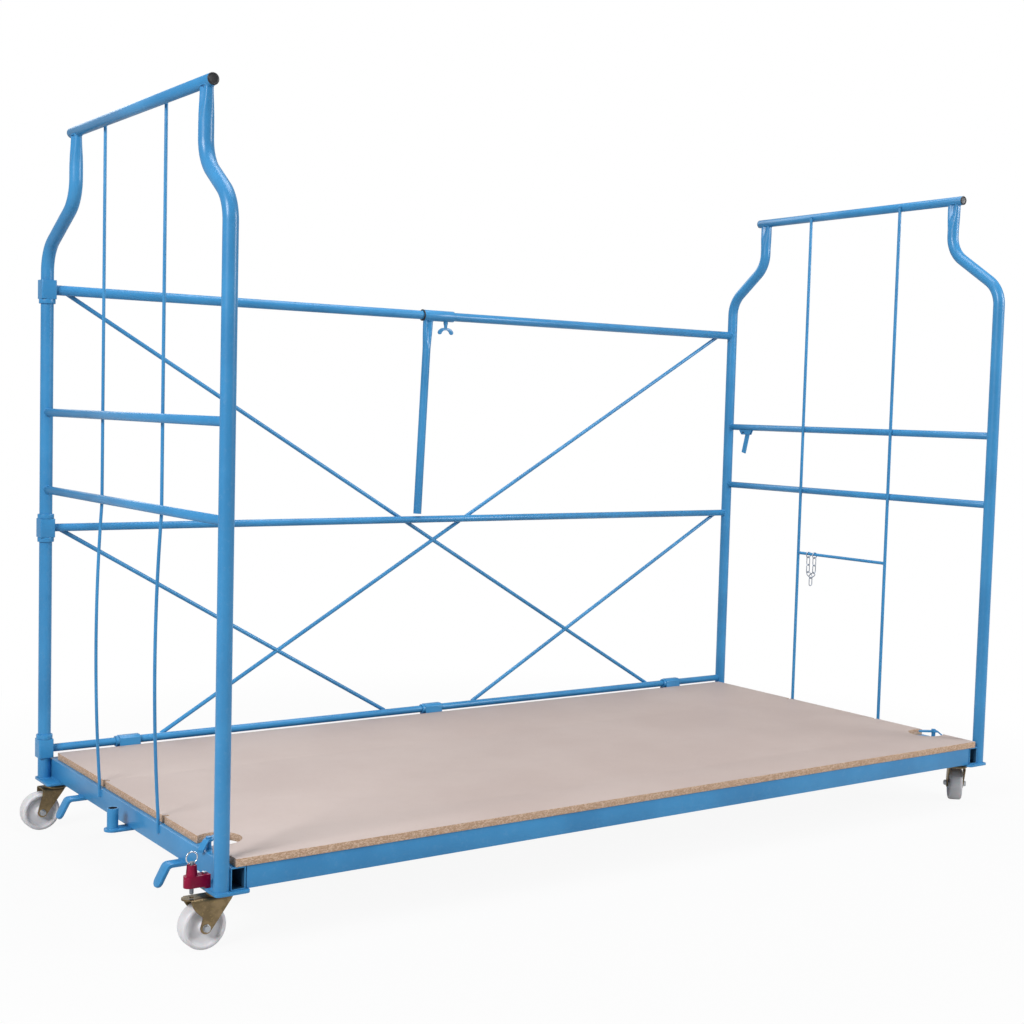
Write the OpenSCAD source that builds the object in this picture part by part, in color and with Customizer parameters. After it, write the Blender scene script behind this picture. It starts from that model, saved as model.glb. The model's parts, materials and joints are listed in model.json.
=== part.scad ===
// Folding furniture trolley of steel tube with a chipboard deck.
// X runs along the trolley, Y to its back and Z up. The floor is at Z = 0.

/* [Frame] */
// Distance between the left and the right posts, axis to axis
frame_length = 2480; // [1800:10:3000]
// Distance between the front and the rear posts, axis to axis
frame_depth = 1146; // [900:2:1400]
// Outer diameter of the posts
post_d = 33.7; // [30:0.1:36]
// Wall of the posts
post_wall = 2.6; // [2:0.1:4]
// Outer diameter of the top bars and of the back top rail
top_tube_d = 26.9; // [22:0.1:29]
// Outer diameter of the side rails and of the lower back rails
rail_d = 21.3; // [18:0.1:24]
// Wall of the rails and of the top bars
rail_wall = 2.3; // [1.5:0.1:3]
// Height of the top bar axes over the floor
top_bar_z = 1835; // [1830:5:2000]
// Height of the upper side rail axes
upper_side_z = 1122; // [1040:2:1240]
// Height of the lower side rail axes
lower_side_z = 915; // [870:2:960]
// Height of the back top rail axis
back_top_z = 1448; // [1400:2:1480]
// Height of the back middle rail axis
back_middle_z = 812; // [760:2:850]
// Height of the back bottom rail axis, about which the deck folds
back_bottom_z = 210; // [205:1:225]
// Diameter of the diagonal braces
brace_d = 12; // [10:0.5:14]
// How far a top bar runs past its posts
bar_overhang = 33; // [24:1:45]

/* [Post bends] */
// How far below the left top bar's axis the bends of its posts end
left_bend_drop = 117; // [105:1:125]
// How far below the right top bar's axis the bends of its posts end
right_bend_drop = 105; // [100:1:125]
// Centreline radius of the bends
bend_r = 90; // [70:2:100]
// Angle of the left front post's slanted stretch from the vertical
left_front_angle = 54; // [44:1:60]
// Angle of the left rear post's slanted stretch from the vertical
left_rear_angle = 62; // [58:1:64]
// Angle of the right front post's slanted stretch from the vertical
right_front_angle = 56; // [50:1:64]
// Angle of the right rear post's slanted stretch from the vertical
right_rear_angle = 52; // [48:1:62]
// How far the left front post is bent inwards
left_front_shift = 129; // [110:1:180]
// How far the left rear post is bent inwards
left_rear_shift = 217; // [150:1:220]
// How far the right front post is bent inwards
right_front_shift = 182; // [120:1:200]
// How far the right rear post is bent inwards
right_rear_shift = 154; // [120:1:200]
// Length of the flattened top of a post
pinch_length = 90; // [70:5:100]
// Thickness of a post's flattened top
pinch_t = 21; // [8:1:24]
// Width of a post's flattened top
pinch_w = 40; // [36:1:48]

/* [Rods] */
// Diameter of the two left rods
left_rod_d = 8; // [6:0.5:10]
// Diameter of the two right rods and of the short bar between them
right_rod_d = 10; // [8:0.5:12]
// Distance between the two rods of an end frame
rod_spacing = 382; // [300:2:460]
// How far the lower stretch of a left rod bows outwards
rod_bow = 12; // [4:1:16]
// Height of the short bar that holds the chain
chain_bar_z = 702; // [660:2:740]

/* [End beams and plates] */
// Width of the end beams
beam_w = 35; // [30:1:40]
// Height of the end beams and of the deck's beams
beam_h = 50; // [46:1:54]
// Wall of the beams
beam_wall = 3; // [2:0.5:4]
// How far an end beam runs past its posts
beam_overrun = 11; // [6:1:16]
// Thickness of the foot plates
plate_t = 6; // [5:1:8]
// How far a foot plate reaches outwards from the post axis
plate_out = 20; // [18:1:26]
// How far a foot plate reaches inwards from the post axis
plate_in = 60; // [52:1:66]
// How far a foot plate reaches along the end beam from the post axis
plate_along = 88; // [80:1:96]

/* [Hinge sleeves] */
// Outside width of the square hinge sleeves
sleeve_w = 40; // [39:0.5:44]
// Height of the hinge sleeves
sleeve_h = 50; // [44:1:54]
// Height of a stop ring on the rear post
ring_h = 12; // [8:1:15]
// Outer diameter of a stop ring on the rear post
ring_d = 43; // [40:1:46]

/* [Deck] */
// Thickness of the chipboard
board_t = 18; // [15:0.5:19]
// Distance of the board's ends from the post axes
board_end_gap = 29; // [24:1:34]
// Distance of the board's front edge from the front post axes
board_front = 12; // [4:1:16]
// Distance of the board's rear edge from the bottom rail axis
board_rear_gap = 25; // [24:1:34]
// Radius of the cut-outs for the latches
cutout_r = 52; // [48:1:56]
// Distance of the cut-outs' centres from the front posts
cutout_y = 150; // [140:2:180]
// Distance of the cut-outs' centres from the board's ends
cutout_in = 32; // [28:1:40]
// Width of the slots beside the rods
slot_w = 9; // [7:1:14]
// Depth of the slots beside the rods
slot_depth = 13; // [8:1:18]
// Number of cross members under the board
cross_count = 6; // [2:2:8]
// Width of a cross member
cross_w = 30; // [24:1:36]
// Width of a hinge strap
strap_w = 60; // [46:2:64]
// Thickness of a hinge strap
strap_t = 4; // [3:0.5:5]
// Distance of the outer straps from the post axes
strap_x = 238; // [200:2:280]

/* [Casters] */
// Diameter of the wheels
wheel_d = 100; // [94:1:104]
// Width of the wheels
wheel_w = 38; // [34:1:42]
// Height of the casters, floor to foot plate
caster_h = 126; // [124:1:134]
// Distance of the wheel's axle from the swivel axis
trail = 42; // [36:1:46]
// Diameter of the king pin
king_d = 12; // [10:0.5:14]
// Diameter of the wheel axle
axle_d = 12; // [10:0.5:14]
// Thickness of a fork leg
fork_t = 3; // [2.5:0.5:4]
// Swivel angle of the front right caster in the photographed pose
front_right_yaw = 225; // [180:1:250]
// Distance of the front left swivel axis from its post, along the end beam
swivel_front_in = 47; // [40:1:52]
// Distance of the front right swivel axis from its post, along the end beam
swivel_front_right_in = 52; // [40:1:56]
// Distance of the right swivel axes from the right posts, inwards
swivel_right_in = 28; // [20:1:29]
// Distance of the rear swivel axes from the rear posts, along the end beams
swivel_rear_in = 33; // [28:1:50]

/* [Coupling and direction lock] */
// Outer diameter of the coupling socket
socket_d = 26.9; // [24:0.1:32]
// Wall of the coupling socket
socket_wall = 2.6; // [2:0.1:4]
// Distance of the socket axis from the left posts
socket_out = 22; // [18:1:30]
// Width of a coupling hook's flat bar
hook_w = 35; // [28:1:40]
// Thickness of a coupling hook's flat bar
hook_t = 8; // [6:1:10]
// Length of a coupling hook's drooping end
hook_drop = 50; // [44:1:64]
// Distance between the two coupling hooks
hook_spacing = 655; // [600:5:700]
// Diameter of the lock pin
lock_pin_d = 9; // [8:0.5:10]
// How far the lock pin drops into the fork's lip
lock_drop = 14; // [11:1:15]
// Distance of the lock pin from the swivel axis
lock_reach = 66; // [62:1:70]

/* [Divider, hold lever and chain] */
// Length of the divider's sleeve
divider_length = 110; // [90:2:140]
// Diameter of the divider's arm
divider_arm_d = 25; // [20:0.5:25]
// Distance of the arm's tip from the top rail's axis
divider_reach = 618; // [560:2:620]
// How far the arm's tip leans along the rail
divider_lean = 24; // [10:1:40]
// Distance of the divider's sleeve from the left posts
divider_place = 1175; // [900:5:1500]
// Length of the hold lever
lever_length = 72; // [56:2:90]
// Distance of the hold lever from the rear post
lever_place = 98; // [80:2:130]
// Wire diameter of the chain
wire_d = 3; // [2.5:0.1:3.2]
// Inside length of a chain link
link_in = 26; // [24:1:32]
// Inside width of a chain link
link_w = 10; // [9:0.5:14]
// Distance between the two ends of the chain on their bar
chain_span = 28; // [24:1:31]

/* [Hidden] */
left_bend_top_z = top_bar_z - left_bend_drop;
right_bend_top_z = top_bar_z - right_bend_drop;

// Fineness of round shapes
fine = 48;
// Fineness of wires and small round shapes
small_fine = 24;
// Fineness of a circle of which only a short arc is used
arc_fine = 720;
// Gap between parts that rest on each other but move apart
seat_gap = 0.3;
// Radial play of a pin in its bore
pin_play = 0.05;
// Play between the rear post and a sleeve's inside
sleeve_play = 0.1;
// Hairline between the straight and the bent stretches of one tube
seam = 0.02;
// Overlap that makes a cut clean
cut = 1;

post_r = post_d / 2;
rail_r = rail_d / 2;
top_r = top_tube_d / 2;
plate_z = caster_h;
beam_z = plate_z + plate_t;
beam_top = beam_z + beam_h;
board_z = beam_top + seat_gap;
board_top = board_z + board_t;
frame_beam_z = beam_z + seat_gap;
frame_beam_h = board_z - frame_beam_z;

// The origin lies under the middle of the whole trolley, so these shifts even out what
// reaches past the posts on either side
lock_arm_nose = 18;
plate_front = post_r + 5;
swivel_in = (plate_in - plate_out) / 2;
lock_arm_out = lock_reach - swivel_in + lock_arm_nose;
tread_round = 4;
tread_edge = [[wheel_d / 2, wheel_w / 2 - 8], [wheel_d / 2 - 1, wheel_w / 2 - 3],
    [wheel_d / 2 - tread_round, wheel_w / 2]];
function tread_reach(along, across) = max([for (p = tread_edge)
    p[0] * abs(along) + p[1] * abs(across)]);
wheel_right = max(plate_out, tread_reach(cos(front_right_yaw), sin(front_right_yaw))
    - trail * cos(front_right_yaw) - swivel_right_in);
wheel_front = max(plate_front, tread_reach(sin(front_right_yaw), cos(front_right_yaw))
    + trail * sin(front_right_yaw) - swivel_front_right_in);
brace_back = rail_r + brace_d;
left_out = max(lock_arm_out, trail + wheel_d / 2 - swivel_in);
shift_x = (left_out - wheel_right) / 2;
shift_y = (wheel_front - brace_back) / 2;
xl = shift_x - frame_length / 2;
xr = shift_x + frame_length / 2;
yf = shift_y - frame_depth / 2;
yr = shift_y + frame_depth / 2;
ym = (yf + yr) / 2;

// End beams lie inside the posts and touch them
beam_in = post_r + beam_w;
deck_left = xl + beam_in + 2.2;
deck_right = xr - beam_in - 2.2;
rear_beam_inset = 8;
rear_beam_left = deck_left + rear_beam_inset;
rear_beam_right = deck_right - rear_beam_inset;
deck_beam_w = 35;
front_beam_y = yf - board_front + 2;

left_rod_x = xl + rail_r + left_rod_d / 2;
right_rod_x = xr - rail_r - right_rod_d / 2;
rod_ys = [ym - rod_spacing / 2, ym + rod_spacing / 2];
rod_foot_z = beam_z + 0.6 * beam_h;
cross_inset = 110;

// Braces lie in one plane behind the rails
brace_y = yr + rail_r + brace_d / 2;
long_brace_top_z = back_top_z - 8;
long_brace_low_z = back_bottom_z + 5;
short_brace_top_z = back_middle_z - 7;
long_brace_in = 60;
long_brace_out = 340;
short_brace_in = 45;
short_brace_out = 1075;

sleeve_in = post_r + sleeve_play;
sleeve_zs = [back_bottom_z + 3, back_middle_z, back_top_z];
strap_xs = [xl + strap_x, (xl + xr) / 2, xr - strap_x];

// Casters: swivel axes and the yaw of each at rest
swivel_left_x = xl + swivel_in;
swivel_right_x = xr - swivel_right_in;
swivel_front_y = yf + swivel_front_in;
swivel_front_right_y = yf + swivel_front_right_in;
swivel_rear_y = yr - swivel_rear_in;
head_t = 4;
head_d = 62;
head_z = caster_h - head_t;
crown_t = 4;
crown_z = wheel_d + 10;
crown_top = crown_z + crown_t;
crown_r = 31;
fork_gap = 3;
fork_half = wheel_w / 2 + fork_gap;
axle_z = wheel_d / 2;
lip_w = 30;
shoulder = 33;
lip_reach = lock_reach + 22;

// Direction lock over the front left caster
lock_x = swivel_left_x - lock_reach;
lock_y = swivel_front_y;
lock_arm_z = plate_z + 10;
lock_arm_h = 25;
lock_arm_w = 25;
lock_arm_left = xl - lock_arm_out;
lock_arm_right = xl - post_r + 9;
lock_cone_z = lock_arm_z + lock_arm_h;
lock_cone_h = 23;
lock_cone_d = [25, 21];
lock_top = lock_cone_z + lock_cone_h;
lock_slot_w = 5.4;
lock_bolt_x = xl - post_r - 0.5;
lock_tip_z = crown_top + 7;
ring_wire = 3.2;
ring_mid_r = 12.6;
ring_hole_d = ring_wire + 2.4;
ring_eye_z = lock_top + ring_wire / 2 + 0.9;

// Deck latches
latch_t = 5;
latch_w = 14;
latch_eye_d = 20;
latch_nose = 46;
latch_grip = 34;
latch_turn = 35;
latch_post_d = 12;
latch_z = board_top + seat_gap + 0.4;
latch_bolt_d = 8;
latch_left_x = xl + post_r + beam_w / 2;
latch_right_x = xr - post_r - beam_w / 2;
latch_y = yf + cutout_y - 8;

// Divider on the back top rail
divider_left = xl + divider_place;
bush_play = 0.1;
bush_in_r = top_r + bush_play;
divider_sleeve_r = post_r;
divider_sleeve_in = post_r - 2;
bush_out_r = divider_sleeve_in - bush_play;
bush_l = 16;
flange_t = 3;
divider_arm_x = divider_left + 18;
divider_arm_y = yr - 2.4;
arm_pinch = 110;
arm_pinch_t = 13;
arm_pinch_w = 33;
wing_x = divider_left + divider_length - 26;
boss_h = 8;
wing_d = 8;
wing_neck = 12;

// Hold lever under the right upper side rail
lever_y = yr - lever_place;
lever_w = 18;
lever_t = 5;
lever_angle = 14;
cheek_t = 3;
cheek_drop = 15;
cheek_rise = 4;
lever_pin_z = upper_side_z - rail_r - 10;
lever_pin_d = 5;

// Chain: rings and links hang with a little air, and the slanted links meet side by side
link_pitch = link_in - seat_gap;
link_offset = wire_d / 2 + 0.2;
link_sag = 1.25;
eye_r = right_rod_d / 2 + wire_d + 0.4;
eye_z = chain_bar_z + right_rod_d / 2 + seat_gap - eye_r;
hang_z = eye_z - eye_r + seat_gap;
arc_gap = link_in - link_w;
slant_z = hang_z - 2 * link_pitch - link_w / 2 + link_sag;
slant_angle = asin((chain_span / 2 - 1) / arc_gap);
chain_y = rod_ys[1] - 62;
chain_x = right_rod_x;

echo(origin_shift = [shift_x, shift_y], posts = [xl, xr, yf, yr], beam_top = beam_top);

// Straight solid rod between two points
module rod(a, b, d, fineness = fine) {
    v = b - a;
    l = norm(v);
    translate(a)
        rotate([0, acos(v[2] / l), atan2(v[1], v[0])])
            cylinder(d = d, h = l, $fn = fineness);
}

// Straight tube between two points
module tube(a, b, d, wall, fineness = fine) {
    u = (b - a) / norm(b - a);
    difference() {
        rod(a, b, d, fineness);
        rod(a - u * cut, b + u * cut, d - 2 * wall, fineness);
    }
}

// Upright tube
module upright(x, y, z1, z2, d, wall) {
    translate([x, y, z1])
        difference() {
            cylinder(d = d, h = z2 - z1, $fn = fine);
            translate([0, 0, -cut]) cylinder(d = d - 2 * wall, h = z2 - z1 + 2 * cut, $fn = fine);
        }
}

// Bend of a tube in the YZ plane, from straight up to the given angle towards +Y
module post_bend(angle) {
    rotate([90, 0, 90])
        translate([bend_r, 0, 0])
            rotate([0, 0, 180 - angle])
                rotate_extrude(angle = angle, $fn = 192)
                    translate([bend_r, 0])
                        difference() {
                            circle(d = post_d, $fn = fine);
                            circle(d = post_d - 2 * post_wall, $fn = fine);
                        }
}

// Pinched tube end from Z = 0 up: round below, thin along X and wide along Y at the top,
// coped at its end to a crossing tube along Y
module pinch(d, h, thin, wide, cope_d = 0) {
    intersection() {
        cylinder(d1 = d, d2 = wide, h = h, $fn = fine);
        translate([0, wide, 0])
            rotate([90, 0, 0])
                linear_extrude(2 * wide)
                    difference() {
                        polygon([[-d / 2, -cut], [d / 2, -cut], [d / 2, 0], [thin / 2, h],
                            [-thin / 2, h], [-d / 2, 0]]);
                        if (cope_d > 0) translate([0, h]) circle(d = cope_d, $fn = fine);
                    }
    }
}

// Post with its S-bend towards +Y by the given shift, standing at the origin of Y
module bent_post(shift, angle, bend_top_z) {
    arc_y = bend_r * (1 - cos(angle));
    arc_z = bend_r * sin(angle);
    slant = (shift - 2 * arc_y) / sin(angle);
    bend_z = bend_top_z - 2 * arc_z - slant * cos(angle);
    straight_h = top_bar_z - pinch_length - bend_top_z;
    translate([0, 0, bend_z]) {
        mirror([0, 0, 1]) upright(0, 0, seam, bend_z - beam_z, post_d, post_wall);
        post_bend(angle);
        translate([0, arc_y, arc_z])
            rotate([-angle, 0, 0])
                upright(0, 0, seam, slant - seam, post_d, post_wall);
    }
    translate([0, shift, bend_top_z]) {
        rotate([180, 0, 0]) post_bend(angle);
        upright(0, 0, seam, straight_h, post_d, post_wall);
        translate([0, 0, straight_h])
            pinch(post_d, pinch_length, pinch_t, pinch_w, top_tube_d);
    }
}

// Post of the front, bent towards the back
module front_post(x, shift, angle, bend_top_z) {
    color("steelblue")
        translate([x, yf, 0])
            bent_post(shift, angle, bend_top_z);
}

// Post of the rear, bent towards the front
module rear_post(x, shift, angle, bend_top_z) {
    color("steelblue")
        translate([x, yr, 0])
            mirror([0, 1, 0])
                bent_post(shift, angle, bend_top_z);
}

// Top bar across two posts
module top_bar(x, front_shift, rear_shift) {
    color("steelblue")
        tube([x, yf + front_shift - bar_overhang, top_bar_z],
            [x, yr - rear_shift + bar_overhang, top_bar_z], top_tube_d, rail_wall);
}

// Plastic cap in one end of a top bar, with its plug inside the tube
module bar_cap() {
    rotate([90, 0, 0])
        cylinder(d = top_tube_d, h = 2.5, $fn = fine);
    rotate([-90, 0, 0])
        cylinder(d = top_tube_d - 2 * rail_wall - 0.2, h = 12, $fn = fine);
}

module bar_caps(x, front_shift, rear_shift) {
    color("dimgray") {
        translate([x, yf + front_shift - bar_overhang, top_bar_z]) bar_cap();
        translate([x, yr - rear_shift + bar_overhang, top_bar_z]) mirror([0, 1, 0]) bar_cap();
    }
}

// The two side rails of an end frame, coped to the posts
module side_rails(x) {
    color("steelblue")
        for (z = [lower_side_z, upper_side_z])
            difference() {
                tube([x, yf, z], [x, yr, z], rail_d, rail_wall);
                for (y = [yf, yr])
                    translate([x, y, z - rail_d])
                        cylinder(d = post_d, h = 2 * rail_d, $fn = fine);
            }
}

// Solid block in the place of an end beam, for cutting
module beam_block(x0) {
    translate([x0, yf - beam_overrun, beam_z])
        cube([beam_w, frame_depth + 2 * beam_overrun, beam_h]);
}

// Rectangular tube of an end frame, open at both ends
module end_beam(x0) {
    color("steelblue")
        difference() {
            beam_block(x0);
            translate([x0 + beam_wall, yf - beam_overrun - cut, beam_z + beam_wall])
                cube([beam_w - 2 * beam_wall, frame_depth + 2 * beam_overrun + 2 * cut,
                    beam_h - 2 * beam_wall]);
        }
}

// Rounded plate in the XY plane
module rounded_plate(w, d, t, r) {
    linear_extrude(t)
        union() {
            translate([r, 0]) square([w - 2 * r, d]);
            translate([0, r]) square([w, d - 2 * r]);
            for (x = [r, w - r], y = [r, d - r])
                translate([x, y]) circle(r, $fn = small_fine);
        }
}

// Foot plates under the ends of one end beam
module foot_plates(x0) {
    color("steelblue") {
        translate([x0, yf - plate_front, plate_z])
            rounded_plate(plate_in + plate_out, plate_front + plate_along, plate_t, 10);
        translate([x0, yr - plate_along, plate_z])
            rounded_plate(plate_in + plate_out, plate_front + plate_along, plate_t, 10);
    }
}

// Fixed half of a caster's swivel: race disc and king pin with its riveted head
module swivel_head(x, y) {
    translate([x, y, 0]) {
        translate([0, 0, head_z]) cylinder(d = head_d, h = head_t, $fn = fine);
        translate([0, 0, crown_z - 1]) cylinder(d = king_d, h = head_z - crown_z + 1, $fn = fine);
        translate([0, 0, crown_z - 4]) cylinder(d = king_d + 8, h = 4 - seat_gap, $fn = fine);
    }
}

module swivel_heads(x, front_y) {
    color("silver") {
        swivel_head(x, front_y);
        swivel_head(x, swivel_rear_y);
    }
}

// Left rod: foot on the end beam, bowed stretch, straight stretch to the top bar
module left_rod(y) {
    bow_low = beam_top + 20;
    bow_high = lower_side_z - rail_r;
    chord = bow_high - bow_low;
    radius = chord * chord / (8 * rod_bow) + rod_bow / 2;
    sweep = 2 * asin(chord / 2 / radius);
    difference() {
        rod([left_rod_x, y, rod_foot_z], [left_rod_x, y, bow_low - seat_gap],
            left_rod_d, small_fine);
        beam_block(xl + post_r);
    }
    translate([left_rod_x + radius - rod_bow, y, (bow_low + bow_high) / 2])
        rotate([90, 0, 0])
            rotate([0, 0, 180 - sweep / 2])
                rotate_extrude(angle = sweep, $fn = arc_fine)
                    translate([radius, 0]) circle(d = left_rod_d, $fn = small_fine);
    difference() {
        rod([left_rod_x, y, bow_high + seat_gap], [left_rod_x, y, top_bar_z],
            left_rod_d, small_fine);
        top_bar_hole(xl, y);
    }
}

// Room for a top bar that a rod runs up to
module top_bar_hole(x, y) {
    translate([x, y - 20, top_bar_z])
        rotate([-90, 0, 0])
            cylinder(d = top_tube_d, h = 40, $fn = fine);
    translate([x - 30, y - 20, top_bar_z]) cube([60, 40, 40]);
}

module left_rods() {
    color("steelblue")
        for (y = rod_ys) left_rod(y);
}

module right_rods() {
    color("steelblue")
        for (y = rod_ys)
            difference() {
                rod([right_rod_x, y, rod_foot_z], [right_rod_x, y, top_bar_z], right_rod_d);
                beam_block(xr - beam_in);
                top_bar_hole(xr, y);
            }
}

// Short bar between the right rods
module chain_bar() {
    color("steelblue")
        difference() {
            rod([chain_x, rod_ys[0], chain_bar_z], [chain_x, rod_ys[1], chain_bar_z], right_rod_d);
            for (y = rod_ys)
                translate([chain_x, y, chain_bar_z - 10])
                    cylinder(d = right_rod_d, h = 20, $fn = fine);
        }
}

// Solid rod in the place of the right rear post, for coping the back rails
module rear_post_block(z) {
    translate([xr, yr, z - 30]) cylinder(d = post_d, h = 60, $fn = fine);
}

// Back rail from its hinge sleeve to the right rear post
module back_rail(z, d) {
    color("steelblue")
        difference() {
            tube([xl + sleeve_w / 2, yr, z], [xr, yr, z], d, rail_wall);
            rear_post_block(z);
        }
}

// Room that the back rails take from the ends of the braces
module rail_cutters() {
    for (r = [[back_top_z, top_tube_d], [back_middle_z, rail_d], [back_bottom_z, rail_d]])
        rod([xl, yr, r[0]], [xr, yr, r[0]], r[1]);
}

// Two braces that fall to the right; mirrored they fall to the left
module falling_braces(d = brace_d) {
    rod([xl + long_brace_in, brace_y, long_brace_top_z],
        [xr - long_brace_out, brace_y, long_brace_low_z], d, small_fine);
    rod([xl + short_brace_in, brace_y, short_brace_top_z],
        [xl + short_brace_out, brace_y, long_brace_low_z], d, small_fine);
}

module mirrored_in_x() {
    translate([shift_x, 0, 0])
        mirror([1, 0, 0])
            translate([-shift_x, 0, 0])
                children();
}

module braces_falling_right() {
    color("steelblue")
        difference() {
            falling_braces();
            rail_cutters();
        }
}

// These are cut through where they meet the other pair
module braces_falling_left() {
    color("steelblue")
        difference() {
            mirrored_in_x() falling_braces();
            falling_braces(brace_d + 2 * seat_gap);
            rail_cutters();
        }
}

// Square sleeves in which the left rear post turns
module hinge_sleeves() {
    color("steelblue")
        for (z = sleeve_zs)
            translate([xl, yr, z - sleeve_h / 2])
                difference() {
                    translate([-sleeve_w / 2, -sleeve_w / 2, 0])
                        rounded_plate(sleeve_w, sleeve_w, sleeve_h, 4);
                    translate([0, 0, -cut])
                        cylinder(r = sleeve_in, h = sleeve_h + 2 * cut, $fn = fine);
                }
}

// Ring on a vertical post
module post_ring(z) {
    translate([xl, yr, z])
        difference() {
            cylinder(d = ring_d, h = ring_h, $fn = fine);
            translate([0, 0, -cut]) cylinder(d = post_d, h = ring_h + 2 * cut, $fn = fine);
        }
}

// Rings that carry the sleeves: under the top one, round the middle one, over the low one
module post_stop_rings() {
    half = sleeve_h / 2 + seat_gap;
    color("steelblue") {
        post_ring(sleeve_zs[2] - half - ring_h);
        post_ring(sleeve_zs[1] - half - ring_h);
        post_ring(sleeve_zs[1] + half);
        post_ring(sleeve_zs[0] + half);
    }
}

// Ring on the bottom rail, with its hole
module rail_ring(x) {
    rotate([0, 90, 0])
        difference() {
            cylinder(d = rail_d + 8, h = 9, $fn = fine);
            translate([0, 0, -cut]) cylinder(d = rail_d, h = 9 + 2 * cut, $fn = fine);
        }
}

// Rings that keep the deck's straps in place along the bottom rail
module rail_stop_rings() {
    color("steelblue")
        for (x = strap_xs)
            translate([x - strap_w / 2 - 9 - seat_gap, yr, back_bottom_z])
                rail_ring(x);
}

// Cheek of the hold lever's bracket with its window, at the lever's place along Y
module lever_cheek(x) {
    translate([x, lever_y, upper_side_z - rail_r])
        rotate([90, 0, 90])
            linear_extrude(cheek_t)
                difference() {
                    polygon([[-20, cheek_rise], [38, cheek_rise], [38, 0], [28, -cheek_drop],
                        [-13, -cheek_drop], [-20, 0]]);
                    translate([12, -cheek_drop + 4]) square([12, 6]);
                }
}

// Two cheeks under the rail and the pin through them
module hold_lever_bracket() {
    side = lever_t / 2 + seat_gap;
    pin_half = side + cheek_t + 1.5;
    color("steelblue")
        difference() {
            union() {
                lever_cheek(xr + side);
                lever_cheek(xr - side - cheek_t);
                rod([xr - pin_half, lever_y, lever_pin_z], [xr + pin_half, lever_y, lever_pin_z],
                    lever_pin_d, small_fine);
            }
            rod([xr, yf, upper_side_z], [xr, yr, upper_side_z], rail_d);
        }
}

// Flat bar that drops behind the folded deck
module hold_lever() {
    color("steelblue")
        translate([xr - lever_t / 2, lever_y, lever_pin_z])
            rotate([lever_angle, 0, 0])
                rotate([90, 0, 90])
                    linear_extrude(lever_t)
                        difference() {
                            union() {
                                circle(d = lever_w, $fn = small_fine);
                                translate([-lever_w / 2, -lever_length]) square([lever_w, lever_length]);
                            }
                            circle(d = lever_pin_d + 2 * pin_play, $fn = small_fine);
                        }
}

// Socket for a coupling pin: rounded plate under the beam with an upright tube on it
module coupling_socket() {
    x = xl - socket_out;
    w = socket_d + 14;
    color("steelblue") {
        difference() {
            union() {
                translate([x, ym - w / 2, plate_z])
                    cube([socket_out + post_r + beam_w - 5, w, plate_t]);
                translate([x, ym, plate_z]) cylinder(d = w, h = plate_t, $fn = fine);
            }
            translate([x, ym, plate_z - cut])
                cylinder(d = socket_d - 2 * socket_wall, h = plate_t + 2 * cut, $fn = fine);
        }
        upright(x, ym, beam_z, beam_top, socket_d, socket_wall);
    }
}

// Outline of a flat bar bent along a line of points, with mitred corners
function unit(v) = v / norm(v);
function left_of(v) = [-v[1], v[0]];
function mitre(p, i, t) = let (
        a = i > 0 ? unit(p[i] - p[i - 1]) : unit(p[1] - p[0]),
        b = i < len(p) - 1 ? unit(p[i + 1] - p[i]) : a,
        m = unit(left_of(a) + left_of(b)))
    p[i] + m * t / (m * left_of(a));
function bent_bar(p, t) = concat(
    [for (i = [0 : len(p) - 1]) mitre(p, i, t / 2)],
    [for (i = [len(p) - 1 : -1 : 0]) mitre(p, i, -t / 2)]);

// Flat bar hook: level under the beam, then bent down outside it
module coupling_hook(y) {
    level_z = beam_z - hook_t / 2;
    bend_x = xl - 12;
    tilt = 62;
    translate([0, y + hook_w / 2, 0])
        rotate([90, 0, 0])
            linear_extrude(hook_w)
                polygon(bent_bar([[xl + beam_in - 2, level_z], [bend_x, level_z],
                    [bend_x - 5, level_z - 4],
                    [bend_x - 5 - hook_drop * cos(tilt), level_z - 4 - hook_drop * sin(tilt)]],
                    hook_t));
}

module coupling_hooks() {
    color("steelblue")
        for (s = [-1, 1]) coupling_hook(ym + s * hook_spacing / 2);
}

// Red housing of the direction lock: arm over the foot plate, cone with the pin's bore
module lock_housing() {
    color("firebrick")
        difference() {
            union() {
                translate([lock_arm_left + lock_arm_w / 2, lock_y - lock_arm_w / 2, lock_arm_z])
                    cube([lock_arm_right - lock_arm_left - lock_arm_w / 2, lock_arm_w, lock_arm_h]);
                translate([lock_arm_left + lock_arm_w / 2, lock_y, lock_arm_z])
                    cylinder(d = lock_arm_w, h = lock_arm_h, $fn = fine);
                translate([xl - plate_out, lock_y - lock_arm_w / 2, beam_z])
                    cube([lock_arm_right - xl + plate_out, lock_arm_w, lock_arm_z - beam_z + cut]);
                translate([lock_x, lock_y, lock_cone_z - cut])
                    cylinder(d1 = lock_cone_d[0], d2 = lock_cone_d[1], h = lock_cone_h + cut, $fn = fine);
            }
            translate([lock_x, lock_y, lock_arm_z - cut])
                cylinder(d = lock_pin_d + 2 * pin_play, h = lock_arm_h + lock_cone_h + 2 * cut, $fn = fine);
            translate([lock_x - 20, lock_y - lock_slot_w / 2, lock_top - lock_drop - 3])
                cube([40, lock_slot_w, lock_drop + 3 + cut]);
            translate([lock_bolt_x, lock_y, beam_z - cut])
                cylinder(d = 6, h = 50, $fn = small_fine);
        }
}

// Hexagon head bolt standing with its head's underside at the origin
module hex_bolt(d, head, head_h, l) {
    cylinder(d = head / cos(30), h = head_h, $fn = 6);
    translate([0, 0, -l]) cylinder(d = d, h = l + cut, $fn = small_fine);
}

// Bolt of the lock housing and bolt of the left latch
module left_bolts() {
    color("silver") {
        translate([lock_bolt_x, lock_y, lock_cone_z]) hex_bolt(6, 10, 4.5, lock_cone_z - beam_z);
        latch_bolt(latch_left_x);
    }
}

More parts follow.
